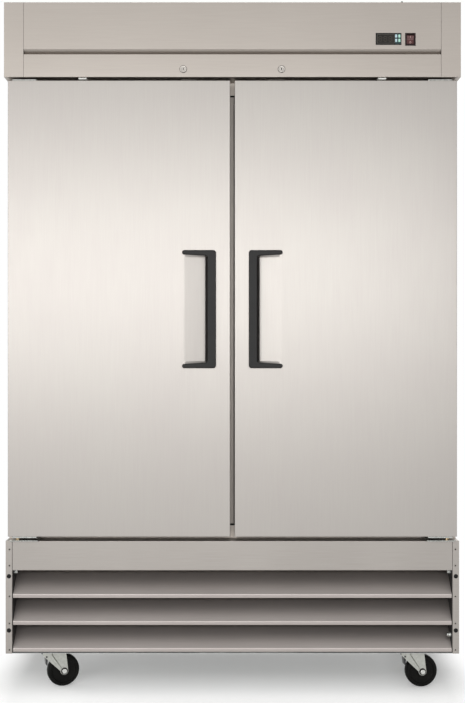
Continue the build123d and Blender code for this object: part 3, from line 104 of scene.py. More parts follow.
def smooth_corners(path, radius, steps=5, closed=True):
    """Rounds the corners of a flat path. Each corner turns into an arc tangent to its two runs: the centre
    lies radius / sin(half the corner's angle) along the bisector, and the arc's points swing evenly about
    it from one run to the other. Points that fall on each other are dropped."""
    path = np.asarray(path, float)
    before, after = np.roll(path, 1, 0) - path, np.roll(path, -1, 0) - path
    before /= np.linalg.norm(before, axis=1, keepdims=True)
    after /= np.linalg.norm(after, axis=1, keepdims=True)
    half = np.arccos(np.clip((before * after).sum(1), -1, 1)) / 2
    bends = half < np.pi / 2 - 0.001
    if not closed:
        bends[[0, -1]] = False
    reach = np.where(bends, np.broadcast_to(np.asarray(radius, float), len(path)), 0.0)
    half = np.where(bends, half, np.pi / 4)
    bisector = before + after
    bisector /= np.maximum(np.linalg.norm(bisector, axis=1, keepdims=True), 1e-9)
    centre = path + bisector * (reach / np.sin(half))[:, None]
    run = (reach / np.tan(half))[:, None]
    start, end = path + before * run - centre, path + after * run - centre
    swing = (np.pi - 2 * half)[:, None, None]
    share = np.linspace(0, 1, steps)[None, :, None]
    arcs = np.sin((1 - share) * swing) * start[:, None] + np.sin(share * swing) * end[:, None]
    points = (centre[:, None] + arcs / np.sin(swing)).reshape(-1, 2)
    step = np.linalg.norm(points - np.roll(points, 1, 0), axis=1)
    if not closed:
        step[0] = 1
    return points[step > 1e-6]


def offset(path, distance, closed=True):
    """Moves every run of a flat path to its left by a distance: each point goes along the sum of the two
    unit normals beside it, divided by one plus their product."""
    ahead = np.roll(path, -1, 0) - path
    normal = np.stack([-ahead[:, 1], ahead[:, 0]], 1)
    normal /= np.maximum(np.linalg.norm(normal, axis=1, keepdims=True), 1e-12)
    behind = np.roll(normal, 1, 0)
    if not closed:
        behind[0] = normal[0]
        normal[-1] = behind[-1]
    return path + (normal + behind) / (1 + (normal * behind).sum(1, keepdims=True)) * distance


def lift(flat, level, axis):
    """A flat drawing in space: (depth, height) at an x, (x, height) at a depth or (x, depth) at a height."""
    u, v = flat[..., 0], flat[..., 1]
    level = np.broadcast_to(level, u.shape)
    return np.stack({"x": (level, u, v), "y": (u, level, v), "z": (u, v, level)}[axis], -1)


def rectangle(x0, x1, z0, z1, radius=0.0, steps=5):
    return smooth_corners([(x0, z0), (x1, z0), (x1, z1), (x0, z1)], radius, steps)


def circle(x, z, radius, sides=40):
    angle = np.arange(sides) * 2 * np.pi / sides
    return np.stack([x + radius * np.cos(angle), z + radius * np.sin(angle)], 1)


def grid(points, wrap_rows=False, wrap_columns=False, ends=False):
    """A surface through rows and columns of points, closed either way round, with its ends capped."""
    rows, columns = points.shape[:2]
    row = np.arange(rows - (not wrap_rows))[:, None]
    column = np.arange(columns - (not wrap_columns))[None, :]
    below, beside = (row + 1) % rows * columns, (column + 1) % columns
    row = row * columns
    quads = np.stack([row + column, row + beside, below + beside, below + column], -1).reshape(-1, 4)
    caps = [range(columns), range((rows - 1) * columns, rows * columns)] if ends else []
    return points.reshape(-1, 3), quads, caps


def rims(low, high, edge_low=0.5, edge_high=0.5, steps=4):
    """Profile of a plate's edge as (inset, level): a quarter round at each end, whose inset is
    edge (1 - sin t) and whose level is edge (1 - cos t) in from the end, and one more step inwards."""
    turn = np.linspace(0, np.pi / 2, steps)
    ends = []
    for level, edge, way in ((low, edge_low, 1), (high, edge_high, -1)):
        rounded = [(edge * (1 - sin(t)), level + way * edge * (1 - cos(t))) for t in turn]
        ends.append([(edge * 1.3, level)] + rounded if edge else [(0, level)])
    return ends[0] + ends[1][::-1]


def carried(outline, profile, axis="y", closed=False):
    """A profile of (inset, level) pairs carried round a flat outline: each pair draws the outline in by
    the inset and sets it at the level. An open profile is capped at both ends."""
    around = np.roll(outline, -1, 0)
    area = (outline[:, 0] * around[:, 1] - around[:, 0] * outline[:, 1]).sum()
    outline = outline if area > 0 else outline[::-1]
    rings = np.stack([lift(offset(outline, inset), level, axis) for inset, level in profile])
    return grid(rings, wrap_rows=closed, wrap_columns=True, ends=not closed)


def plate(outline, low, high, axis="y", edge_low=0.5, edge_high=0.5):
    return carried(outline, rims(low, high, edge_low, edge_high), axis)


def turned(centre, profile, axis="y", sides=40, closed=False):
    """A profile of (radius, level) pairs turned about an axis through the centre."""
    largest = max(radius for radius, level in profile)
    insets = [(largest - radius, level) for radius, level in profile]
    return carried(circle(*centre, largest, sides), insets, axis, closed)


def rims_of_pin(radius, low, high, edge=0.6):
    return [(radius - inset, level) for inset, level in rims(low, high, edge, edge)]


def plate_with_hole(outline, centre, radius, low, high, axis="z", edge=0.5, count=96):
    """A plate round a hole: its outline is cut at even steps of its length, and each of its points faces
    the point of the hole's circle in the same direction from the centre."""
    ring = np.concatenate([outline, outline[:1]])
    reach = np.concatenate([[0], np.cumsum(np.linalg.norm(np.diff(ring, axis=0), axis=1))])
    even = np.arange(count) / count * reach[-1]
    outline = np.stack([np.interp(even, reach, ring[:, 0]), np.interp(even, reach, ring[:, 1])], 1)
    away = outline - centre
    hole = centre + radius * away / np.linalg.norm(away, axis=1, keepdims=True)
    rings = [lift(offset(outline, inset), level, axis) for inset, level in rims(low, high, edge, edge)]
    rings += [lift(hole, high, axis), lift(hole, low, axis)]
    return grid(np.stack(rings), wrap_rows=True, wrap_columns=True)


def thick(outer, inner, holes=()):
    """Two grids of points joined round their borders into one wall. A cell whose middle lies inside a
    hole's box (x0, x1, depth0, depth1, z0, z1) is left out, and the wall's edge closes round it."""
    rows, columns = outer.shape[:2]
    count = rows * columns
    index = np.arange(count).reshape(rows, columns)
    middle = (outer[:-1, :-1] + outer[1:, :-1] + outer[:-1, 1:] + outer[1:, 1:]) / 4
    keep = np.ones(middle.shape[:2], bool)
    for hole in holes:
        keep &= ~((middle > np.array(hole[::2])) & (middle < np.array(hole[1::2]))).all(-1)
    cells = np.stack([index[:-1, :-1], index[:-1, 1:], index[1:, 1:], index[1:, :-1]], -1)[keep]
    padded = np.pad(keep, 1)
    across = padded[1:, 1:-1] != padded[:-1, 1:-1]
    along = padded[1:-1, 1:] != padded[1:-1, :-1]
    starts = np.concatenate([index[:, :-1][across], index[:-1][along]])
    stops = np.concatenate([index[:, 1:][across], index[1:][along]])
    rim = np.stack([starts, stops, stops + count, starts + count], -1)
    points = np.concatenate([outer.reshape(-1, 3), inner.reshape(-1, 3)])
    used, quads = np.unique(np.concatenate([cells, cells + count, rim]), return_inverse=True)
    return points[used], quads.reshape(-1, 4), []


def bent_sheet(path, sheet, stations, axis="x", bend=2.0, holes=(), steps=5):
    """A folded sheet: the outer line of its section with rounded bends and an inner line one thickness to
    its left (to its right where the thickness is negative), both carried along an axis."""
    outer = smooth_corners(path, bend, steps, closed=False)
    inner = offset(outer, sheet, closed=False)
    grids = [np.stack([lift(line, s, axis) for s in stations]) for line in (outer, inner)]
    return thick(*grids, holes)


def pan(line, inner_line, levels, fade, back, bend, sheet, stops=(), holes=()):
    """A folded pan open to the back. Its face follows a line of (x, depth) points across and levels
    upwards, and any relief in the line grows with fade (0 to 1) along the levels. Beyond each border the
    sheet turns through a quarter round of the bend's radius and runs back past the stops. The four walls
    meet in mitres, because each point takes the greater of the depths its row and its column give it."""
    turn = np.linspace(np.pi / 2, 0, 5)
    grids = []
    for points, thickness in ((line, 0.0), (inner_line, sheet)):
        radius, face = bend - thickness, line[0][1] + thickness
        out = np.concatenate([np.full(len(stops) + 1, radius), radius * np.sin(turn)])
        depth = np.concatenate([[back, *stops], face + radius * (1 - np.cos(turn))])
        x = np.concatenate([line[0][0] - out, points[1:-1, 0], line[-1][0] + out[::-1]])
        z = np.concatenate([levels[0] - out, levels[1:-1], levels[-1] + out[::-1]])
        by_column = np.concatenate([depth, np.full(len(points) - 2, face), depth[::-1]])
        by_row = np.concatenate([depth, np.full(len(levels) - 2, face), depth[::-1]])
        none = np.zeros(len(out))
        relief = np.concatenate([none, points[1:-1, 1] - face, none])
        share = np.concatenate([none, fade[1:-1], none])
        depths = np.maximum(by_column[None, :], by_row[:, None]) + relief[None, :] * share[:, None]
        x, z = np.broadcast_to(x[None, :], depths.shape), np.broadcast_to(z[:, None], depths.shape)
        grids.append(np.stack([x, depths, z], -1))
    return thick(*grids, holes)


def mirrored(shell):
    return shell[0] * (-1, 1, 1), shell[1], shell[2]


def pair(*shells):
    return [*shells, *(mirrored(shell) for shell in shells)]


def moved(shell, place=(0, 0, 0), turn=0.0, axis="z", about=(0, 0, 0)):
    """Turns a shell's points about an axis through a point, then shifts them."""
    c, s = cos(radians(turn)), sin(radians(turn))
    matrix = {"z": [(c, -s, 0), (s, c, 0), (0, 0, 1)], "x": [(1, 0, 0), (0, c, -s), (0, s, c)]}
    matrix["y"] = [(c, 0, s), (0, 1, 0), (-s, 0, c)]
    about = np.array(about, float)
    return (shell[0] - about) @ np.array(matrix[axis]).T + about + place, shell[1], shell[2]


smooth_up_to = 35


def piece(name, shells, finish, node):
    """One finished object that stands for a CAD node, alone or with others: its shells joined, doubles
    merged, normals outward, smooth up to an angle, in the given finish. It rides on the node's body, and the
    node is hidden."""
    starts = np.cumsum([0] + [len(points) for points, quads, caps in shells])
    points = np.concatenate([points for points, quads, caps in shells]) * MM + (0, front_plane, 0)
    faces = [quad for start, shell in zip(starts, shells) for quad in (shell[1] + start).tolist()]
    for start, shell in zip(starts, shells):
        faces += [(np.asarray(cap) + start).tolist() for cap in shell[2]]
    mesh = bpy.data.meshes.new(name)
    mesh.from_pydata(points.tolist(), [], faces)
    shape = bmesh.new()
    shape.from_mesh(mesh)
    bmesh.ops.remove_doubles(shape, verts=shape.verts, dist=1e-7)
    bmesh.ops.recalc_face_normals(shape, faces=shape.faces)
    shape.to_mesh(mesh)
    shape.free()
    mesh.shade_smooth()
    mesh.set_sharp_from_angle(angle=radians(smooth_up_to))
    made = bpy.data.objects.new(name, mesh)
    bpy.context.scene.collection.objects.link(made)
    mesh.materials.append(finish)
    shading = made.modifiers.new("flat_faces_lead", "WEIGHTED_NORMAL")
    shading.keep_sharp = True
    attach(made, body_of[node])
    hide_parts(node)


def both_sides(name, shells, finish, node):
    """The same shells as two pieces, left and right, the left one mirrored."""
    for side in ("left", "right"):
        made = [mirrored(shell) for shell in shells] if side == "left" else shells
        piece(f"{name}_{side}", made, finish, f"{node}_{side}")


# Finishes


def linear(colour):
    """An sRGB hex colour as linear red, green, blue and full alpha."""
    parts = [int(colour[i : i + 2], 16) / 255 for i in (1, 3, 5)]
    return (*[p / 12.92 if p <= 0.04045 else ((p + 0.055) / 1.055) ** 2.4 for p in parts], 1.0)


def add(tree, kind, inputs={}, **settings):
    """One shader node with its settings; each input gets a value or another node's output."""
    node = tree.nodes.new("ShaderNode" + kind)
    for name, value in settings.items():
        setattr(node, name, value)
    for name, value in inputs.items():
        if isinstance(value, bpy.types.NodeSocket):
            tree.links.new(value, node.inputs[name])
        else:
            node.inputs[name].default_value = value
    return node


def finish(name, dark, light, roughness, metallic=0.0, grain="TexNoise", reading="Fac", grain_mm=1.0,
           stretch=(1, 1, 1), middle=(0.35, 0.65), gloss=0.04, relief_mm=0.0, patch_mm=0.0, **sockets):
    """A material whose tone, gloss and relief follow one grain. The grain's own size is grain_mm, drawn
    out along an axis by a stretch above one; its middle range spreads from the dark to the light tone and
    from roughness + gloss to roughness - gloss. Patches, where given, sway the tone over a wider size."""
    material = bpy.data.materials.new(name)
    material.use_nodes = True
    tree = material.node_tree
    tree.nodes.clear()
    own = {socket.replace("_", " "): value for socket, value in sockets.items()}
    shader = add(tree, "BsdfPrincipled", {"Metallic": metallic, **own})
    add(tree, "OutputMaterial", {"Surface": shader.outputs[0]})
    place = add(tree, "TexCoord").outputs["Object"]
    scale = [1 / (grain_mm * MM * s) for s in stretch]
    drawn = add(tree, "Mapping", {"Vector": place, "Scale": scale}).outputs[0]
    texture = add(tree, grain, {"Vector": drawn, "Scale": 1.0}).outputs[reading]
    ends = {"Value": texture, "From Min": middle[0], "From Max": middle[1]}
    amount = add(tree, "MapRange", ends).outputs[0]
    tone = amount
    if patch_mm:
        patches = add(tree, "TexNoise", {"Vector": place, "Scale": 1 / (patch_mm * MM)}).outputs["Fac"]
        tone = add(tree, "Math", {0: amount, 1: 0.5, 2: patches}, operation="MULTIPLY_ADD").outputs[0]
        tone = add(tree, "MapRange", {"Value": tone, "From Min": 0.4, "From Max": 1.1}).outputs[0]
    ramp = add(tree, "ValToRGB", {"Fac": tone})
    ramp.color_ramp.elements[0].color = linear(dark)
    ramp.color_ramp.elements[1].color = linear(light)
    tree.links.new(ramp.outputs[0], shader.inputs["Base Color"])
    ends = {"Value": amount, "To Min": roughness + gloss, "To Max": roughness - gloss}
    tree.links.new(add(tree, "MapRange", ends).outputs[0], shader.inputs["Roughness"])
    if relief_mm:
        relief = add(tree, "Bump", {"Height": texture, "Distance": relief_mm * MM, "Strength": 0.5})
        tree.links.new(relief.outputs[0], shader.inputs["Normal"])
    return material


# 304 stainless with a No. 4 polish: fine parallel scratches that blur reflections into soft bands. The
# scratches are about 0.15 mm apart; they are drawn 0.9 mm wide so that they show at all from nearby.
polish = dict(metallic=1.0, grain_mm=0.9, gloss=0.012, relief_mm=0.002, patch_mm=260)
upright = dict(polish, stretch=(1, 1, 120))
level = dict(polish, stretch=(120, 1, 1))
door_stainless = finish("brushed_stainless_door", "#A7A29E", "#AAA6A1", 0.43, **upright)
header_stainless = finish("brushed_stainless_header", "#AAA39C", "#AFA8A1", 0.44, **level)
base_stainless = finish("brushed_stainless_base", "#A09B96", "#A7A29D", 0.46, **level)
side_stainless = finish("brushed_stainless_side", "#B5B1AA", "#BCB8B1", 0.44, **upright)
louvre_stainless = finish("brushed_stainless_louvre", "#B2ABA7", "#B9B2AE", 0.52, **level)
# Face frame round the openings, seen in the narrow gaps above and below the doors; its pale tone is painted
# light that lifts the shade of those gaps
frame_stainless_lifted = finish("brushed_stainless_frame_painted_light", "#C8C0B8", "#CEC6BE", 0.48, **upright)
# Mullion sheet, a coarser and duller polish than the doors, its tone made paler as painted light that lifts
# the shade of the gap between them
mullion_stainless_lifted = finish("brushed_stainless_mullion_painted_light", "#BFB8B1", "#C5BEB7", 0.55, **upright)
# Hot-dipped zinc: flat crystals about 14 mm across, each a slightly different grey
galvanised = finish(
    "galvanised_sheet", "#A3A5A5", "#BDBEBC", 0.44, 1.0, "TexVoronoi", "Color", 14,
    middle=(0, 1), gloss=0.06
)
# Bright zinc plating on brackets and screws: pale grey, satin, faintly mottled
zinc_plate = finish("bright_zinc_plate", "#9FA19D", "#BFC0BD", 0.35, 1.0, grain_mm=6, gloss=0.07)
# The same plating on the casters, duller where they are handled and dusty
caster_zinc = finish("dull_zinc_plate", "#B0B1AB", "#B9BAB4", 0.42, 1.0, grain_mm=7, gloss=0.04)
# Rolled bolt heads, brighter than the sheet they hold; the paler tone is partly a painted highlight
bolt_zinc_and_highlight = finish("burnished_zinc_and_painted_highlight", "#C9CAC6", "#D8D9D5", 0.25, 1.0, grain_mm=3, gloss=0.05)
# Dark steel: on the casters' axle washers its black is painted shade round the bolt heads, on the broken-off
# rivet mandrels painted shade in the rivet holes; the hinge bracket bolts wear it too
dark_steel_and_shade = finish("dark_steel_and_painted_shade", "#2A2826", "#373432", 0.5, 1.0, grain_mm=2, gloss=0.05)
# Nickel-chrome plating over drawn wire: bright, with a slight ripple from the plating
chrome_wire = finish("nickel_chrome_wire", "#CDCECF", "#D6D7D8", 0.18, 1.0, grain_mm=4, relief_mm=0.05)
# White baked paint on aluminium sheet: even, with orange peel about 3 mm across
white_paint = finish(
    "white_painted_aluminium", "#E0E1DF", "#EAEBE9", 0.38, grain_mm=3, relief_mm=0.05, patch_mm=180, IOR=1.5
)
# Poured polyurethane foam: pale straw yellow with open cut cells about 1.5 mm across
foam = finish(
    "rigid_polyurethane_foam", "#C4AE72", "#E4D39D", 0.9, grain="TexVoronoi", reading="Distance",
    grain_mm=1.5, middle=(0.7, 0.1), relief_mm=0.4, IOR=1.45
)
# Moulded plastics with a fine spark-eroded grain, about 0.8 mm across, that keeps their highlights soft
moulded = dict(grain_mm=0.8, relief_mm=0.02)
smoother = dict(grain_mm=0.8, relief_mm=0.01)
black_abs = finish("black_abs", "#100F0F", "#171616", 0.45, patch_mm=40, IOR=1.25, **moulded)
black_nylon = finish(
    "black_glass_filled_nylon", "#141313", "#1C1B1A", 0.5, grain_mm=1.2, relief_mm=0.03, patch_mm=40,
    IOR=1.36
)
white_abs = finish("white_abs", "#DEDEDA", "#E8E8E4", 0.4, patch_mm=30, IOR=1.54, **moulded)
red_polycarbonate = finish(
    "red_polycarbonate", "#4C2726", "#5D3331", 0.3, patch_mm=20, IOR=1.4, **smoother
)
maroon_abs = finish("dark_maroon_abs", "#1C0E0D", "#271413", 0.45, IOR=1.3, **moulded)
grey_abs = finish("dark_grey_abs", "#4B463F", "#57524A", 0.4, IOR=1.5, **smoother)
# Dark teal film that carries the keys, matt like printed polyester
teal_film = finish(
    "dark_teal_polyester_film", "#0F2B2C", "#163637", 0.35, grain_mm=6, relief_mm=0.01, IOR=1.5
)
# Pale ink of the rocker's two marks
mark_ink = finish("pad_printed_ink", "#B08F8A", "#BE9C96", 0.5, grain_mm=1.5, IOR=1.5)
# Unlit segments of the display, a little paler than the window
unlit_segments = finish("unlit_display_segments", "#39342D", "#443E36", 0.4, grain_mm=1, IOR=1.35)
# Rigid vinyl strip of the mullion, satin; its dark brown-grey is partly painted shade, the shadow that the
# right door casts beside it in the gap
breaker_strip_shade = finish(
    "rigid_vinyl_painted_shade", "#6C645E", "#776F68", 0.5, grain_mm=1, relief_mm=0.02, IOR=1.5
)
# Fan blades, black with a faint milky sheen from the glass in them
fan_polypropylene = finish(
    "black_glass_filled_polypropylene", "#1F2022", "#28292B", 0.5, grain_mm=1, relief_mm=0.03, IOR=1.49
)
# Soft vinyl of the gaskets, matt
grey_vinyl = finish("grey_soft_vinyl", "#3B3B3A", "#454544", 0.55, IOR=1.52, **moulded)
# Translucent silicone keys with a lamp behind them
blue_key = finish(
    "lit_silicone_key_blue", "#9FB6BC", "#AFC6CC", 0.4, grain_mm=1, IOR=1.41,
    Emission_Color=linear("#C4DCE6"), Emission_Strength=0.2
)
green_key = finish(
    "lit_silicone_key_green", "#90B8A8", "#A0C8B8", 0.4, grain_mm=1, IOR=1.41,
    Emission_Color=linear("#C0F2DE"), Emission_Strength=0.25
)
# Smoked acrylic window over the display, polished
smoked_acrylic = finish("smoked_acrylic", "#1E1B17", "#27241F", 0.12, grain_mm=30, gloss=0.02, IOR=1.4)
# Nickel plating on die-cast zinc: warm and bright, finely pitted
lock_nickel = finish("nickel_plated_zinc", "#B7B2AC", "#C3BEB8", 0.4, 1.0, grain_mm=1.2, gloss=0.06)
# Bare brass, aluminium fins and copper tube: plain metal colours, satin, slightly uneven
turned_brass = finish("turned_brass", "#C2AE90", "#D2BE9E", 0.3, 1.0, grain_mm=3, gloss=0.06)
aluminium = finish("aluminium_fin_stock", "#B4B6B8", "#C8C9CB", 0.38, 1.0, grain_mm=8, gloss=0.06)
copper = finish("drawn_copper_tube", "#9C5B3E", "#C97F5A", 0.32, 1.0, grain_mm=6, gloss=0.06)
# Baked enamel on pressed steel: deep black, glossy, with orange peel
black_enamel = finish(
    "black_baked_enamel", "#121314", "#1A1B1D", 0.25, grain_mm=2.5, relief_mm=0.05, IOR=1.5
)
# Black polyurethane wheel, matt, dusted grey where it rolls
black_tyre = finish(
    "black_polyurethane", "#090908", "#151412", 0.55, grain_mm=2, relief_mm=0.05, patch_mm=25, IOR=1.2
)
# Painted shade: the louvre ends sit in the dark, and their flat black stands for that shade
louvre_end_shade = finish("black_painted_shade", "#171514", "#1D1B1A", 0.6, grain_mm=1.5, relief_mm=0.02, IOR=1.5)

slot_finishes = {
    "stainless_skin": side_stainless,
    "stainless_dark": frame_stainless_lifted,
    "galvanised": galvanised,
    "zinc_fittings": zinc_plate,
    "chrome_wire": chrome_wire,
    "white_liner": white_paint,
    "foam": foam,
    "black_plastic": black_abs,
    "handle_plastic": black_nylon,
    "white_plastic": white_abs,
    "lit_blue_key": blue_key,
    "lit_green_key": green_key,
    "red_rocker": red_polycarbonate,
    "lock_metal": lock_nickel,
    "gasket_rubber": grey_vinyl,
    "brass_fitting": turned_brass,
    "fan_plastic": fan_polypropylene,
    "coil_aluminium": aluminium,
    "black_enamel": black_enamel,
    "copper": copper,
    "caster_steel": caster_zinc,
    "wheel_rubber": black_tyre,
}


def dress_cad_nodes():
    """Each node that is carried over takes the finish of its material slot, the face frame its own."""
    for node, slot in slot_of.items():
        nodes[node].data.materials.clear()
        worn = frame_stainless_lifted if node == "face_frame" else slot_finishes[slot]
        nodes[node].data.materials.append(worn)


# Doors

door_inner, door_outer = 7.0, 676.6
door_low, door_high = 484.2, 1858.5
door_face, door_back = 12.5, 68.5
door_sheet, door_bend = 1.0, 1.5
hinge_x, hinge_depth = 650.6, 37.5
pin_hole = (hinge_x - 6.0, hinge_x + 6.0, hinge_depth - 6.0, hinge_depth + 6.0)
lock_x, lock_z = 147.5, 1889.7
cam_slot = (28.0, 35.5)
handle_inner, handle_outer = 49.5, 151.0
grip_outer = 75.0
handle_low, handle_high = 992.0, 1347.0
arm_at_tip, arm_at_grip = 13.0, 17.0
pocket_wall, pocket_far = 60.0, 146.0
pocket_low, pocket_high = 1002.0, 1337.0
pocket_deep, pocket_floor, pocket_fade = 28, 10, 12
knee_x, knee_deep = pocket_wall + 17.5, 13.8


def make_door_skins():
    """Folded pan whose face dips to a pocket beside the grip: a steep wall, a narrow floor, a short ramp
    and a long gentle slope out, all with rounded bends, and ends that fade in over 12 mm."""
    slot_low_x, slot_high_x = 116.9, 156.0
    slope = knee_deep / (pocket_far - knee_x)
    corners = [
        (door_inner + door_bend, door_face),
        (pocket_wall, door_face),
        (pocket_wall, door_face + pocket_deep),
        (pocket_wall + pocket_floor, door_face + pocket_deep),
        (knee_x, door_face + knee_deep),
        (slot_low_x, door_face + slope * (pocket_far - slot_low_x)),
        (pocket_far, door_face),
        (slot_high_x, door_face),
        (pin_hole[0], door_face),
        (pin_hole[1], door_face),
        (door_outer - door_bend, door_face),
    ]
    line = smooth_corners(corners, [0, 1.2, 3, 3, 14, 0, 45, 0, 0, 0, 0], 9, closed=False)
    inner = offset(line, door_sheet, closed=False)
    ease = np.linspace(0, 1, 9)
    rise = ease * ease * (3 - 2 * ease)
    fading = pocket_fade * ease
    low, high = [door_low + door_bend], [door_high - door_bend]
    levels = np.concatenate([low, pocket_low + fading, pocket_high - fading[::-1], high])
    fade = np.concatenate([[0], rise, rise[::-1], [0]])
    stops = (pin_hole[3], cam_slot[1], pin_hole[2], cam_slot[0])
    holes = [(slot_low_x, slot_high_x, *cam_slot, door_high - 5, door_high + 1)]
    holes += [(*pin_hole, z - 2, z + 2) for z in (door_low, door_high)]
    shell = pan(line, inner, levels, fade, door_back, door_bend, door_sheet, stops, holes)
    both_sides("door_pan", [shell], door_stainless, "door_skin")


def make_door_handles():
    """C-shaped outline, its corners and tips rounded, carried from the door's face to the front with a
    full round at the front edge, and the flange that lines the pocket's wall."""
    outline = smooth_corners(
        [
            (handle_inner, handle_low),
            (handle_outer, handle_low),
            (handle_outer, handle_low + arm_at_tip),
            (grip_outer, handle_low + arm_at_grip),
            (grip_outer, handle_high - arm_at_grip),
            (handle_outer, handle_high - arm_at_tip),
            (handle_outer, handle_high),
            (handle_inner, handle_high),
        ],
        [8, 6.2, 6, 7, 7, 6, 6.2, 8],
        9,
    )
    body = carried(outline, rims(door_face - 9, door_face, 3.2, 0.4, 7))
    flange = plate(rectangle(60.3, 63.1, pocket_low + 1, pocket_high - 1, 1), door_face - 1, 38.5)
    both_sides("pull_handle", [body, flange], black_nylon, "door_handle")


gasket_box = (27.0, 650.0, 486.9, 1837.0)


def make_gaskets():
    """Bellows section carried round the door: a flat foot, a pinched waist and a round magnet pocket."""
    section = smooth_corners(
        [
            (0.5, 68.5), (19.5, 68.5), (19.5, 70.6), (14.5, 71.6), (14.5, 73), (18.8, 74.6), (18.8, 79.7),
            (1.2, 79.7), (1.2, 74.6), (5.5, 73), (5.5, 71.6), (0.5, 70.6),
        ],
        [0.2, 0.2, 0.7, 0.5, 0.5, 1.2, 2, 2, 1.2, 0.5, 0.5, 0.7],
        4,
    )
    shell = carried(rectangle(*gasket_box, 6.0), section, closed=True)
    both_sides("magnetic_gasket", [shell], grey_vinyl, "door_gasket")


leaf_box = (589.6, 664.6, 14.5, 60.5)
bracket_ends = (586.6, 672.6)
bracket_bolts = (628.6, 600.6)
pin_radius, running_hole = 4.0, 4.05
leaf_top, leaf_below = 4, 4.5
bracket_low, bracket_high = 1867.2, 1871.2
lower_bracket_top = 472.2


def make_hinges():
    """Leaves with a running hole on the doors; brackets, pin, bolts and brass cartridge on the cabinet."""
    leaf = rectangle(*leaf_box, 3)
    centre = np.array([hinge_x, hinge_depth])
    leaves = [
        plate_with_hole(leaf, centre, running_hole, low, high, edge=0.7)
        for low, high in ((door_high, door_high + leaf_top), (door_low - leaf_below, door_low))
    ]
    both_sides("hinge_leaf", leaves, zinc_plate, "hinge_leaves")
    upper = plate(rectangle(*bracket_ends, 15.5, 59.5, 3), bracket_low, bracket_high, "z")
    pin = turned(centre, rims_of_pin(pin_radius, 1855.5, bracket_high), "z", 24)
    lower = plate(rectangle(*bracket_ends, 15.5, 79.5, 3), base_top, lower_bracket_top, "z")
    piece("hinge_brackets_pressed", pair(upper, pin, lower), zinc_plate, "hinge_brackets")
    bolts = []
    for x in bracket_bolts:
        washer = [(6.5, lower_bracket_top), (6.5, 473.0), (2, 473.0)]
        bolts.append(turned((x, hinge_depth), washer, "z", 24))
        bolts.append(carried(circle(x, hinge_depth, 5.0, 6), [(0, 473.0), (0, 474.9), (0.6, 475.4)], "z"))
    piece("hinge_bracket_bolts", pair(*bolts), dark_steel_and_shade, "hinge_brackets")
    sleeve = [(6.4, lower_bracket_top), (7, 472.8), (7, 475), (6.5, 475.4)]
    sleeve += [(6.5, 475.9), (7, 476.3), (7, 478.9), (6.5, 479.4)]
    pin = turned(centre, rims_of_pin(pin_radius, lower_bracket_top, 487.2), "z", 24)
    cartridge = pair(turned(centre, sleeve, "z", 32), pin)
    piece("hinge_cartridge_brass", cartridge, turned_brass, "hinge_cartridges")


# Header

fascia_half = 626.7
cap_inner, inner_half = 627.5, 684.8
top_flange, sheet_back = 22.5, 3.7
under_back = 80.3
bend_z, groove_z, groove_back = 1950.4, 1935.4, 16.5
groove_tail = 12
controller_cut = (433.0, 504.4, 1965.3, 1995.2)
rocker_cut = (521.4, 547.2, 1962.8, 1995.2)
lock_seat = (140, 155, 1882.2, 1897.2)
cam_run = (110.3, 156)
through_bottom = (header_bottom - 6, header_bottom + 4)


def make_header():
    """Fascia, lock rail and end caps, each one folded sheet carried along the cabinet."""
    front = [(top_flange, overall_height), (header_face, overall_height)]
    levels = (controller_cut[3], controller_cut[2], rocker_cut[2], bend_z)
    path = front + [(header_face, z) for z in levels]
    path += [(groove_back, groove_z), (groove_back, groove_z - groove_tail)]
    stations = [-fascia_half, *controller_cut[:2], *rocker_cut[:2], fascia_half]
    holes = [(x0, x1, 0, 6, z0, z1) for x0, x1, z0, z1 in (controller_cut, rocker_cut)]
    fascia = bent_sheet(path, outer_sheet, stations, bend=[0, 2.2, 0, 0, 0, 0.9, 0.9, 0], holes=holes)
    path = [(header_face + groove_tail, groove_z)]
    path += [(header_face, z) for z in (groove_z, lock_seat[3], lock_seat[2], header_bottom)]
    path += [(depth, header_bottom) for depth in (*cam_slot, under_back)]
    cuts = (cam_run[0], *lock_seat[:2], cam_run[1])
    stations = [-fascia_half, *(-x for x in cuts[::-1]), *cuts, fascia_half]
    holes = [(*lock_seat[:2], 0, 5, *lock_seat[2:]), (*cam_run, *cam_slot, *through_bottom)]
    holes += [(-x1, -x0, *rest) for x0, x1, *rest in holes]
    rail = bent_sheet(path, outer_sheet, stations, bend=panel_bend, holes=holes)
    piece("header_front_sheet", [fascia], header_stainless, "header_fascia")
    piece("header_lock_rail", [rail], header_stainless, "header_rail")
    path = front + [(depth, header_bottom) for depth in (header_face, *pin_hole[2:], under_back)]
    stations = [cap_inner, *pin_hole[:2], inner_half]
    cap = bent_sheet(path, outer_sheet, stations, bend=panel_bend, holes=[(*pin_hole, *through_bottom)])
    edge = [(inner_half, header_face), (half_width, header_face)]
    edge += [(half_width, sheet_back), (inner_half, sheet_back)]
    edge = plate(smooth_corners(edge, [0, 1, 0, 0]), header_bottom, overall_height, "z", 0.3, 0.3)
    inner = rectangle(sheet_back, top_flange, 1872.4, overall_height - outer_sheet)
    inner = plate(inner, cap_inner, cap_inner + outer_sheet, "x", 0, 0)
    piece("header_end_caps", pair(cap, edge, inner), header_stainless, "header_fascia")


controller = (430.2, 507.2, 1962.5, 1997.9)
rocker = (518.6, 550.0, 1960.0, 1998.0)
case_face, case_back, case_bend, case_wall = 0.7, 2.45, 0.8, 0.6
window_end = 486.2
key_centres = [(491.4, 1975.6), (491.4, 1988.6), (501.0, 1975.6), (501.0, 1988.6)]
key_width, key_height, key_gap = 6.2, 9.2, 0.3
digit_low, digit_lefts = 1973.2, (439.5, 454.5, 469.5)


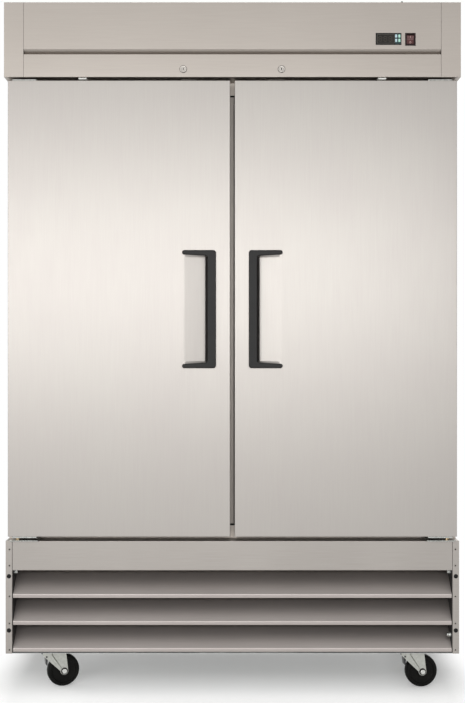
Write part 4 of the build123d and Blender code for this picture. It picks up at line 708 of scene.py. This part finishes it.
def flat_pan(box, face, back, bend, sheet, holes):
    """A small moulded frame: a pan with a flat face, pierced by holes given as (x0, x1, z0, z1)."""
    x0, x1, z0, z1 = box
    xs = np.unique([x0 + bend, x1 - bend, *(x for hole in holes for x in hole[:2])])
    zs = np.unique([z0 + bend, z1 - bend, *(z for hole in holes for z in hole[2:])])
    line = np.stack([xs, np.full(len(xs), face)], 1)
    inner = line + (0, sheet)
    cuts = [(a, b, -1, back + 1, c, d) for a, b, c, d in holes]
    return pan(line, inner, zs, np.zeros(len(zs)), back, bend, sheet, (), cuts)


def grown(box, by):
    """A box (x0, x1, z0, z1) with every side moved out by a distance, or in where it is negative."""
    return box[0] - by, box[1] + by, box[2] - by, box[3] + by


def make_controller():
    """Moulded bezel over a dark window and four keys in their sockets."""
    x0, x1, z0, z1 = controller
    window = (x0 + 5, window_end, z0 + 5, z1 - 5)
    half_x, half_z = key_width / 2, key_height / 2
    keys = [(x - half_x, x + half_x, z - half_z, z + half_z) for x, z in key_centres]
    sockets = [grown(key, key_gap) for key in keys]
    bezel = flat_pan(controller, case_face, case_back, case_bend, case_wall, [window, *sockets])
    body = plate(rectangle(*grown(controller, -3), 1), 5.0, 60.5)
    piece("controller_bezel", [bezel, body], black_abs, "control_cases")
    pane = plate(rectangle(*grown(window, 1)), 1.35, 4.9, "y", 0.1, 0)
    piece("controller_window", [pane], smoked_acrylic, "control_cases")
    section = [(-1.2, 0.69), (-1.1, 0.35), (-0.1, 0.35), (0, 0.69)]
    rim = carried(rectangle(*window, 0.8), section, closed=True)
    piece("display_frame", [rim], grey_abs, "control_cases")
    film = flat_pan((487.6, x1 - 1.6, z0 + 2.6, z1 - 2.6), 0.4, 0.69, 0.1, 0.15, sockets)
    piece("key_film", [film], teal_film, "control_cases")
    bars = [(0.9, 8.1, z - 0.8, z + 0.8) for z in (0, 7, 14)]
    bars += [(x - 0.8, x + 0.8, z + 1.1, z + 5.9) for x in (0, 9) for z in (0, 7)]
    digits = [
        plate(rectangle(x + a, x + b, digit_low + c, digit_low + d), 1.2, 1.34, "y", 0, 0)
        for x in digit_lefts
        for a, b, c, d in bars
    ]
    piece("display_segments", digits, unlit_segments, "control_cases")
    for number, (key, lit) in enumerate(zip(keys, (blue_key, blue_key, green_key, green_key)), 1):
        shell = carried(rectangle(*key, 1.2), rims(0.05, 3.5, 0.7, 0.1))
        piece(f"membrane_key_{number}", [shell], lit, f"push_button_{number}")


rocker_pivot = (534.3, 7.0, 1979.0)
rocker_tilt = 9.0
paddle_half = 13.2


def make_rocker():
    """Frame, and a paddle whose shallow V face is drawn in depth and height and carried across, tilted
    about its pivot, with a bar and a ring raised on its two halves."""
    hole = grown(rocker, -4.6)
    frame_shell = flat_pan(rocker, case_face, case_back, case_bend, case_wall, [hole])
    well = carried(rectangle(*hole), [(0, 2.0), (0, 16), (-1.6, 16), (-1.6, 2.0)], closed=True)
    floor = plate(rectangle(*grown(rocker, -3)), 16.1, 28.5)
    piece("rocker_frame", [frame_shell, well, floor], maroon_abs, "control_cases")
    cx, cz = rocker_pivot[0], rocker_pivot[2]
    low, high = cz - paddle_half, cz + paddle_half
    outline = smooth_corners(
        [(2.6, high), (4.2, cz), (2.6, low), (11, low + 4), (11, high - 4)], [1.2, 12, 1.2, 1, 1], 6
    )
    paddle = plate(outline, rocker[0] + 4.9, rocker[1] - 4.9, "x", 0.6, 0.6)
    pivot = turned((0, 0), rims_of_pin(1.5, -paddle_half, paddle_half, 0.2), "z", 16)
    pivot = moved(pivot, rocker_pivot, 90, "y")
    bar = plate(rectangle(cx - 0.7, cx + 0.7, cz + 5.5, cz + 10.5, 0.3), 2.75, 3.6, "y", 0.1, 0)
    ring = carried(circle(cx, cz - 8, 2.8, 32), [(0, 3.6), (0, 2.75), (1.2, 2.75), (1.2, 3.6)], closed=True)
    paddle, pivot, bar, ring = [
        moved(shell, turn=rocker_tilt, axis="x", about=rocker_pivot) for shell in (paddle, pivot, bar, ring)
    ]
    piece("rocker_paddle_moulded", [paddle, pivot], red_polycarbonate, "rocker_paddle")
    piece("rocker_on_off_marks", [bar, ring], mark_ink, "rocker_paddle")


barrel_end, cam_end = 30.5, 33.0
cam_half, cam_reach = 6, 42


def make_locks():
    """Turned bezel and barrel with its nut on a black ring that stands as painted shade round the bezel's
    rim; a plug whose face closes round a key slot with a black plate behind it as painted shade in the slot,
    and its cam."""
    centre = (lock_x, lock_z)
    bezel = [(6.05, 28.5), (6.05, 1.1), (6.6, 0.4), (7.6, 0.3), (8.9, 0.1), (9.6, 0.3), (9.9, 0.8)]
    bezel += [(9.9, 2.5), (9.2, 2.6), (9.2, 28.5)]
    nut = carried(circle(*centre, 13.0, 6), [(0.6, 3.7), (0, 4.2), (0, 7.7)])
    shells = pair(turned(centre, bezel, closed=True, sides=48), nut)
    piece("lock_barrel_turned", shells, lock_nickel, "lock_barrels")
    # black ring round the bezel as painted shade at its rim
    section = [(10.0, 1.2), (10.9, 1.3), (11, 1.5), (11, 2.5), (10.0, 2.5)]
    washer = turned(centre, section, closed=True, sides=48)
    piece("lock_rim_painted_shade", pair(washer), black_abs, "lock_barrels")
    angle = np.arange(48) * 2 * np.pi / 48
    way = np.stack([np.cos(angle), np.sin(angle)], 1)
    key_slot = way * np.min(np.array([1.3, 3.4]) / np.maximum(np.abs(way), 1e-9), axis=1)[:, None]
    # black plate behind the key slot as painted shade
    keyway_shade = rectangle(lock_x - 1.25, lock_x + 1.25, lock_z - 3.3, lock_z + 3.3)
    keyway_shade = plate(keyway_shade, 1.2, 3.0, "y", 0, 0)
    both_sides("keyway_painted_shade", [keyway_shade], black_abs, "lock_plug")
    rings = [way * 6, way * 6, way * 5.4, key_slot, key_slot]
    levels = [barrel_end, 1.7, 0.9, 0.9, 5.5]
    rings = np.stack([lift(ring + centre, level, "y") for ring, level in zip(rings, levels)])
    plug = grid(rings, wrap_columns=True, ends=True)
    cam = (lock_x - cam_reach, lock_x + cam_half, lock_z - cam_half, lock_z + cam_half)
    cam = plate(rectangle(*cam, 5.9, 9), barrel_end, cam_end, "y", 0.4, 0.4)
    screw = turned(centre, [(3.5, cam_end), (3.5, 34.6), (3.0, 35.0)], sides=24)
    both_sides("lock_plug_keyed", [plug, cam, screw], lock_nickel, "lock_plug")


def make_small_header_pieces():
    """Switch housings with a slanted end, and the domed plugs and stud."""
    outline = [(438.1, header_bottom), (463.1, header_bottom), (463.1, 1861.5), (440.6, 1861.5)]
    housing = plate(smooth_corners(outline, [0.2, 0.2, 1.2, 1.2]), 8.5, 34.5, "y", 0.8, 0.8)
    piece("door_switch_housings", pair(housing), white_abs, "door_switches")
    dome = [(0.4, -1.0), (2.6, -0.9), (4.8, -0.62), (6.1, -0.3), (6.7, 0.0), (5.0, 0.02)]
    dome = [(radius, base_face + level) for radius, level in dome + [(5.0, 7.5), (4.4, 8.0)]]
    plugs = [turned((676.0, z), dome, sides=32) for z in (198.0, 362.0)]
    stud = [(2.8, 2085), (2.8, 2091.05), (3, 2091.2), (3, 2094), (2.7, 2094.7), (2.0, 2095)]
    shells = pair(*plugs) + [turned((510.0, 10.5), stud, "z", 24)]
    piece("hole_plugs_domed", shells, black_abs, "hole_plugs")


# Base

base_face = 27.5
strip_half = 665.25
post_inner = 666.0
strip_low = 379.5
blade_half = 663.75
lip_tops = (143.2, 225.0, 306.8)
lip_drop, blade_rise, blade_reach = 11.2, 66.8, 72.0
post_rivet_x, post_rivets = 674.5, (139.4, 219.3, 301.3, 394.2, 443.5)
floor_top, deck_low, deck_high = 130.0, 449.8, 451.0


def make_base():
    """Front strip, louvre blades with folded lips, end plates and posts, each folded from one sheet."""
    path = [(base_face + 15, strip_low), (base_face, strip_low)]
    path += [(base_face, base_top), (under_back, base_top)]
    strip = bent_sheet(path, -outer_sheet, [-strip_half, strip_half], bend=panel_bend)
    piece("base_strip_folded", [strip], base_stainless, "base_front_strip")
    blades = []
    for top in lip_tops:
        path = [
            (base_face + 11, top - lip_drop), (base_face + 2.2, top - lip_drop), (base_face, top),
            (base_face + blade_reach, top + blade_rise),
        ]
        blades.append(bent_sheet(path, -1.0, [-blade_half, blade_half], bend=[0, 2.2, 4.5, 0], steps=7))
    piece("louvre_blades_folded", blades, louvre_stainless, "louvre_panel")
    end = plate(rectangle(30.0, 109.5, 130.2, 378.5), strip_half - 1, strip_half, "x", 0.2, 0.2)
    # the end plates are black as painted shade
    piece("louvre_end_plates", pair(end), louvre_end_shade, "louvre_panel")
    tab = plate(rectangle(653.5, 664.2, 368.0, 379.0, 1), 44.0, 45.2)
    head = turned((658.5, 374.0), [(1.6, 41.0), (2.9, 41.5), (3.6, 42.8), (3.6, 44.0)], sides=24)
    bolt = [(4.6, 651.5), (5.2, 652.0), (5.2, 656.5), (7.0, 657.0), (7.4, 657.8), (7.4, 664.2)]
    shells = pair(tab, head) + [turned((44.0, 182.0), bolt, "x", 24)]
    piece("louvre_fixings", shells, zinc_plate, "louvre_panel")
    path = [(post_inner, base_face + 40), (post_inner, base_face), (half_width, base_face)]
    post = bent_sheet(path, 1.5, [base_bottom, base_top], axis="z", bend=panel_bend)
    ledge = rectangle(post_inner + 1.6, inner_half, 29.1, under_back)
    ledge = plate(ledge, 468.0, base_top, "z", 0.1, 0.2)
    dome = [(2.1, 27.5), (2.1, 26.9), (2.5, 26.6), (3.1, 26.8), (3.6, 27.3), (3.7, 27.5)]
    heads = [turned((post_rivet_x, z), dome, sides=24, closed=True) for z in post_rivets]
    shells = pair(post, ledge, *heads)
    piece("base_posts_folded", shells, base_stainless, "base_frame")
    # dark mandrel ends as painted shade in the rivet holes
    broken = [(1.9, 26.95), (2.05, 27.1), (2.05, 27.5)]
    mandrels = [turned((post_rivet_x, z), broken, sides=16) for z in post_rivets]
    piece("rivet_mandrels_painted_shade", pair(*mandrels), dark_steel_and_shade, "base_frame")
    floor_pan = rectangle(-inner_half, inner_half, 29.1, cabinet_back)
    floor_pan = plate(floor_pan, base_bottom, floor_top, "z", 0.3, 0.3)
    deck = rectangle(-inner_half, inner_half, 82.1, cabinet_back)
    deck = plate(deck, deck_low, deck_high, "z", 0.2, 0.2)
    path = [(654.9, 790.3), (683.2, 790.3), (683.2, 818.6)]
    rear = bent_sheet(path, 1.5, [130.1, 449.7], axis="z")
    piece("base_pan_and_deck", [floor_pan, deck, *pair(rear)], galvanised, "base_frame")


mullion_half = 52
mullion_face = 80.5
strip_groove = (3.4, 8.8)
end_half, shade_strip_heights = 24, ((507.6, 513.2), (1823.2, 1828.4))


def make_mullion():
    """Channel between the two openings with a tab over its upper joint, a breaker strip snapped into its
    groove, dark in part as painted shade, and black strips at its two ends as painted shade in the dark gaps
    there."""
    low, high = strip_groove
    path = [(-mullion_half, 140.5), (-mullion_half, mullion_face), (low, mullion_face), (low, 82.5)]
    path += [(high, 82.5), (high, mullion_face), (mullion_half, mullion_face), (mullion_half, 140.5)]
    bends = [0, 2, 0.3, 0.3, 0.3, 0.3, 2, 0]
    channel = bent_sheet(path, 1.0, [513.0, 1809.0], axis="z", bend=bends)
    tab = plate(rectangle(-end_half, end_half, 1801, 1823, 1.5), 79.75, 80.45, "y", 0.2, 0)
    piece("mullion_channel", [channel, tab], mullion_stainless_lifted, "centre_mullion")
    # the strip's dark tone is partly painted shade on the right side of the gap
    strip = plate(rectangle(3.8, 8.4, 80.9, 82.4, 0.6), 513.5, 1808.5, "z", 0.3, 0.3)
    strip_end = plate(rectangle(3.8, 8.4, 1801.2, 1822.8, 0.6), 79.45, 79.8, "y", 0.1, 0)
    piece("mullion_breaker_strip", [strip, strip_end], breaker_strip_shade, "centre_mullion")
    # black strips as painted shade where the gaps at the mullion's ends are dark
    end_shade_strips = [
        plate(rectangle(-end_half, end_half, *heights, 0.5), 79.8, 80.45, "y", 0.2, 0)
        for heights in shade_strip_heights
    ]
    piece("mullion_end_painted_shade", end_shade_strips, black_abs, "centre_mullion")


def make_door_liners():
    """White inner pan, its field pressed inwards by 3 mm behind a rounded step and raised at a rib."""
    outline = grown((door_inner, door_outer, door_low, door_high), -1.1)
    steps = [(0, 67.5), (0, 68.4), (43.0, 68.45), (45.0, 68.8), (47.5, 70.8), (49.5, 71.4), (52.0, 71.5)]
    steps += [(74.0, 71.5), (76.0, 71.3), (79.0, 69.4), (81.5, 69.0), (300.0, 69.0)]
    both_sides("door_inner_pan", [carried(rectangle(*outline), steps)], white_paint, "door_liner")


# Casters, drawn trailing to the right with their swivel axis at zero, then turned and placed

casters = {
    "front_left": (-557.0, 122.0, 21.0),
    "front_right": (557.0, 122.0, 7.0),
    "rear_left": (-557.0, 722.0, 12.0),
    "rear_right": (557.0, 722.0, 16.0),
}
trail, axle_z = 30.0, 50.0
fork_inner, fork_sheet = 17.5, 3.0
fork_round, crown_half, crown_top = 12, 36, 114.7


def fork_leg():
    """Tapering leg as a sheet: at each height its points run from the leading to the trailing edge, both
    straight above the axle and round below it. The leading part folds inwards behind a pressed groove."""
    round_low = axle_z - fork_round * np.cos(np.radians(np.linspace(0, 90, 8)))
    heights = np.concatenate([round_low, [58.0, 75.0, 90.0, 102.0, 109.0, crown_top]])
    swing = np.sqrt(np.maximum(fork_round**2 - (axle_z - np.minimum(heights, axle_z)) ** 2, 0.2))
    widening = np.interp(heights, [axle_z, 102.0, crown_top], [0, 1, 1])
    low_lead, low_tail = trail - fork_round, trail + fork_round
    lead = np.where(heights < axle_z, trail - swing, low_lead + widening * (-crown_half - low_lead))
    tail = np.where(heights < axle_z, trail + swing, low_tail + widening * (crown_half - low_tail))
    share = np.array([0, 0.1, 0.2, 0.3, 0.37, 0.4, 0.43, 0.55, 0.7, 0.85, 1.0])
    a = lead[:, None] + (tail - lead)[:, None] * share
    groove = np.where(share == 0.4, 2.2, 0) * (heights > 62)[:, None]
    fold = np.maximum(a[:, 5:6] - a, 0) * 0.12 + groove
    rows = np.broadcast_to(heights[:, None], a.shape)
    outer = np.stack([a, -(fork_inner + fork_sheet) + fold, rows], -1)
    return thick(outer, outer + (0, fork_sheet, 0))


def brake_lever(x, z):
    """Side view of the pedal about its rivet at (x, z): a shoe that hangs down to the tyre, and an arm
    that rises forwards in a shallow S to its tread."""
    corners = [
        (3.4, -28), (4.4, -14), (5.5, 2), (-2, 8), (-13, 12.5), (-20, 18.5), (-31, 21), (-32, 17.4),
        (-21.5, 14.8), (-14, 8.8), (-5, 4), (-2, -8), (0.4, -28),
    ]
    radii = [1, 8, 2, 4, 4, 4, 1.7, 1.7, 5, 5, 3, 5, 1]
    return smooth_corners(np.array(corners) + (x, z), radii, 5)


def make_casters():
    """Fork with its axle bolt and washers, wheel, pedal on the front ones, and the plate it turns under."""
    leg = fork_leg()
    legs = [leg, (leg[0] * (1, -1, 1), leg[1], leg[2])]
    half_y = fork_inner + fork_sheet
    crown = rectangle(-crown_half, crown_half, -half_y, half_y, 6.0, 7)
    web = plate_with_hole(crown, np.zeros(2), 5.05, 111.7, crown_top, edge=0.8)
    axle = turned((trail, axle_z), rims_of_pin(5.0, -21, 21, 0.2), sides=24)
    heads = [
        carried(circle(trail, axle_z, 8.0, 6), section)
        for section in ([(0.7, -25.5), (0, -24.9), (0, -21.6)], [(0, 21.6), (0, 24.9), (0.7, 25.5)])
    ]
    washer = [(10.5, 21.5), (10.5, 20.55), (5.1, 20.55), (5.1, 21.5)]
    washers = [
        turned((trail, axle_z), [(radius, side * y) for radius, y in washer], closed=True)
        for side in (-1, 1)
    ]
    half = [(5.05, 16.9), (12.5, 16.9), (14.5, 15.8), (16.5, 11.2), (18, 11), (35, 11), (37, 11.8)]
    half += [(39, 14.6), (40.5, 15), (43.2, 14.7), (46, 13.6), (48.2, 11.4), (49.4, 8.4), (49.9, 5), (50, 2)]
    section = half + [(radius, -y) for radius, y in half[::-1]]
    wheel = turned((trail, axle_z), section, sides=64, closed=True)
    rivet = (-25.0, 98.0)
    lever = plate(brake_lever(*rivet), -13, 13, "y", 1.2, 1.2)
    rivet = turned(rivet, rims_of_pin(2.5, -20.5, 20.5, 0.4), sides=20)
    race = [(24, 115.0), (25, 115.8), (25, 119.5), (24.2, 120), (24.2, 121), (25, 121.5), (25, 124.9)]
    kingpin = [(8.4, 108.4), (9, 109), (9, 110.4), (8.4, 111.2), (5, 111.4), (5, 115.5)]
    top = [
        plate(rectangle(-47.5, 47.5, -35, 35, 6), 125.0, 128.0, "z", 0.5, 0.2),
        turned((0, 0), race, "z"),
        turned((0, 0), kingpin, "z", 32),
    ]
    tops = []
    for name, (cx, depth, turn) in casters.items():
        fork, wheel_node, pedal = f"caster_fork_{name}", f"caster_wheel_{name}", f"brake_pedal_{name}"
        rows = [
            (f"fork_{name}", [*legs, web], caster_zinc, fork),
            (f"axle_bolt_{name}", [axle, *heads], bolt_zinc_and_highlight, fork),
            # dark washers as painted shade round the axle bolt heads
            (f"axle_washers_painted_shade_{name}", washers, dark_steel_and_shade, fork),
            (f"wheel_{name}", [wheel], black_tyre, wheel_node),
            (f"brake_{name}_pedal", [lever, rivet], black_enamel, pedal),
        ]
        for made, shells, worn, node in rows:
            if node in nodes:
                placed = [moved(shell, (cx, depth, 0), turn) for shell in shells]
                piece(made, placed, worn, node)
        tops += [moved(shell, (cx, depth, 0)) for shell in top]
    piece("caster_mounting_plates", tops, caster_zinc, "caster_plates")


# Floor, backdrop and lamps

backdrop_white = 1.0
room_fill = 0.62
dim_side, dim_start, dim_end = 0.77, -0.5, 0.5


def make_world():
    """White where the camera looks, an even grey fill for diffuse light, and for reflections a white that
    dims from the left to the right side of the room."""
    world = bpy.data.worlds.new("studio")
    bpy.context.scene.world = world
    world.use_nodes = True
    tree = world.node_tree
    tree.nodes.clear()
    path = add(tree, "LightPath").outputs
    across = add(tree, "SeparateXYZ", {"Vector": add(tree, "TexCoord").outputs["Generated"]}).outputs["X"]
    inputs = {"Value": across, "From Min": dim_start, "From Max": dim_end}
    inputs.update({"To Min": backdrop_white, "To Max": dim_side})
    mirrored_white = add(tree, "MapRange", inputs).outputs[0]
    inputs = {"Value": path["Is Glossy Ray"], "To Min": room_fill, "To Max": mirrored_white}
    strength = add(tree, "MapRange", inputs).outputs[0]
    inputs = {0: path["Is Camera Ray"], 1: path["Is Transmission Ray"]}
    seen = add(tree, "Math", inputs, operation="MAXIMUM")
    inputs = {"Value": seen.outputs[0], "To Min": strength, "To Max": backdrop_white}
    strength = add(tree, "MapRange", inputs).outputs[0]
    background = add(tree, "Background", {"Color": (1, 1, 1, 1), "Strength": strength})
    add(tree, "OutputWorld", {"Surface": background.outputs[0]})


floor_size = 30.0
floor_fade_start, floor_fade_end = 1.0, 1.9
side_fade_start, side_fade_end = 0.67, 0.79
glow_back, glow_front, front_glow = -0.12, -0.42, 0.3
deep_start, deep_end = -0.15, 0.08
under_glow, deep_glow = 0.1, 0.24
glow_side_start, glow_side_end, glow_side = 0.5, 0.66, 0.1


def make_floor():
    """Pale floor that keeps the cabinet's shadow and turns plain white away from it. A faint glow, from
    under the cabinet to its front, lifts the shadow to the grey it has in the photograph."""
    corners = np.array([(-1, -1, 0), (1, -1, 0), (1, 1, 0), (-1, 1, 0)], float) * floor_size / 2
    mesh = bpy.data.meshes.new("floor")
    mesh.from_pydata(corners.tolist(), [], [(0, 1, 2, 3)])
    floor = bpy.data.objects.new("floor", mesh)
    bpy.context.scene.collection.objects.link(floor)
    material = bpy.data.materials.new("pale_studio_floor")
    material.use_nodes = True
    tree = material.node_tree
    tree.nodes.clear()
    place = add(tree, "TexCoord").outputs["Object"]
    reach = add(tree, "VectorMath", {0: place}, operation="LENGTH").outputs["Value"]
    inputs = {"Value": reach, "From Min": floor_fade_start, "From Max": floor_fade_end}
    away = add(tree, "MapRange", inputs, interpolation_type="SMOOTHSTEP").outputs[0]
    along = add(tree, "SeparateXYZ", {"Vector": place}).outputs
    beside = add(tree, "Math", {0: along["X"]}, operation="ABSOLUTE").outputs[0]
    inputs = {"Value": beside, "From Min": side_fade_start, "From Max": side_fade_end}
    aside = add(tree, "MapRange", inputs, interpolation_type="SMOOTHSTEP").outputs[0]
    away = add(tree, "Math", {0: away, 1: aside}, operation="MAXIMUM").outputs[0]
    inputs = {"Value": along["Y"], "From Min": glow_back, "From Max": glow_front, "To Max": front_glow}
    front = add(tree, "MapRange", inputs).outputs[0]
    inputs = {"Value": along["Y"], "From Min": deep_start, "From Max": deep_end}
    inputs.update({"To Min": under_glow, "To Max": deep_glow})
    under = add(tree, "MapRange", inputs).outputs[0]
    inputs = {"Value": beside, "From Min": glow_side_start, "From Max": glow_side_end}
    inputs.update({"To Min": 1.0, "To Max": glow_side})
    beside = add(tree, "MapRange", inputs).outputs[0]
    glow = add(tree, "Math", {0: under, 1: beside, 2: front}, operation="MULTIPLY_ADD").outputs[0]
    path = add(tree, "LightPath").outputs
    inputs = {0: path["Is Camera Ray"], 1: path["Is Glossy Ray"]}
    seen = add(tree, "Math", inputs, operation="MAXIMUM").outputs[0]
    glow = add(tree, "Math", {0: seen, 1: glow}, operation="MULTIPLY").outputs[0]
    paint = add(tree, "BsdfDiffuse", {"Color": linear("#F2F2F1")})
    lifted = add(tree, "Emission", {"Strength": glow})
    near = add(tree, "AddShader", {0: paint.outputs[0], 1: lifted.outputs[0]})
    white = add(tree, "Emission", {"Strength": backdrop_white})
    share = add(tree, "Math", {0: away, 1: seen}, operation="MULTIPLY").outputs[0]
    mixed = add(tree, "MixShader", {0: share, 1: near.outputs[0], 2: white.outputs[0]})
    add(tree, "OutputMaterial", {"Surface": mixed.outputs[0]})
    mesh.materials.append(material)


def lamp(name, place, target, width, height, power):
    """Soft rectangular lamp that faces a target point."""
    data = bpy.data.lights.new(name, "AREA")
    data.shape = "RECTANGLE"
    data.size, data.size_y = width, height
    data.energy = power
    holder = bpy.data.objects.new(name, data)
    holder.location = place
    facing = Vector(target) - Vector(place)
    holder.rotation_euler = facing.to_track_quat("-Z", "Y").to_euler()
    bpy.context.scene.collection.objects.link(holder)


def make_lamps():
    lamp("front_softbox", (-0.98, -4.1, 1.55), (-0.98, -0.4, 1.25), 5.2, 0.6, 71.5)
    lamp("left_softbox", (-3.6, 0.6, 1.9), (0, 0.2, 1.0), 1.6, 2.2, 22)
    lamp("back_softbox", (1.2, 4.4, 2.4), (0, 0.4, 1.1), 4.4, 2.4, 52)
    lamp("top_softbox", (0, 0.7, 4.2), (0, 0.5, 1.0), 2.4, 1.6, 30)


bpy.context.scene.view_settings.view_transform = "Standard"
make_camera()
make_world()
make_floor()
make_lamps()
dress_cad_nodes()
make_door_skins()
make_door_handles()
make_gaskets()
make_hinges()
make_header()
make_controller()
make_rocker()
make_locks()
make_small_header_pieces()
make_base()
make_mullion()
make_door_liners()
make_casters()
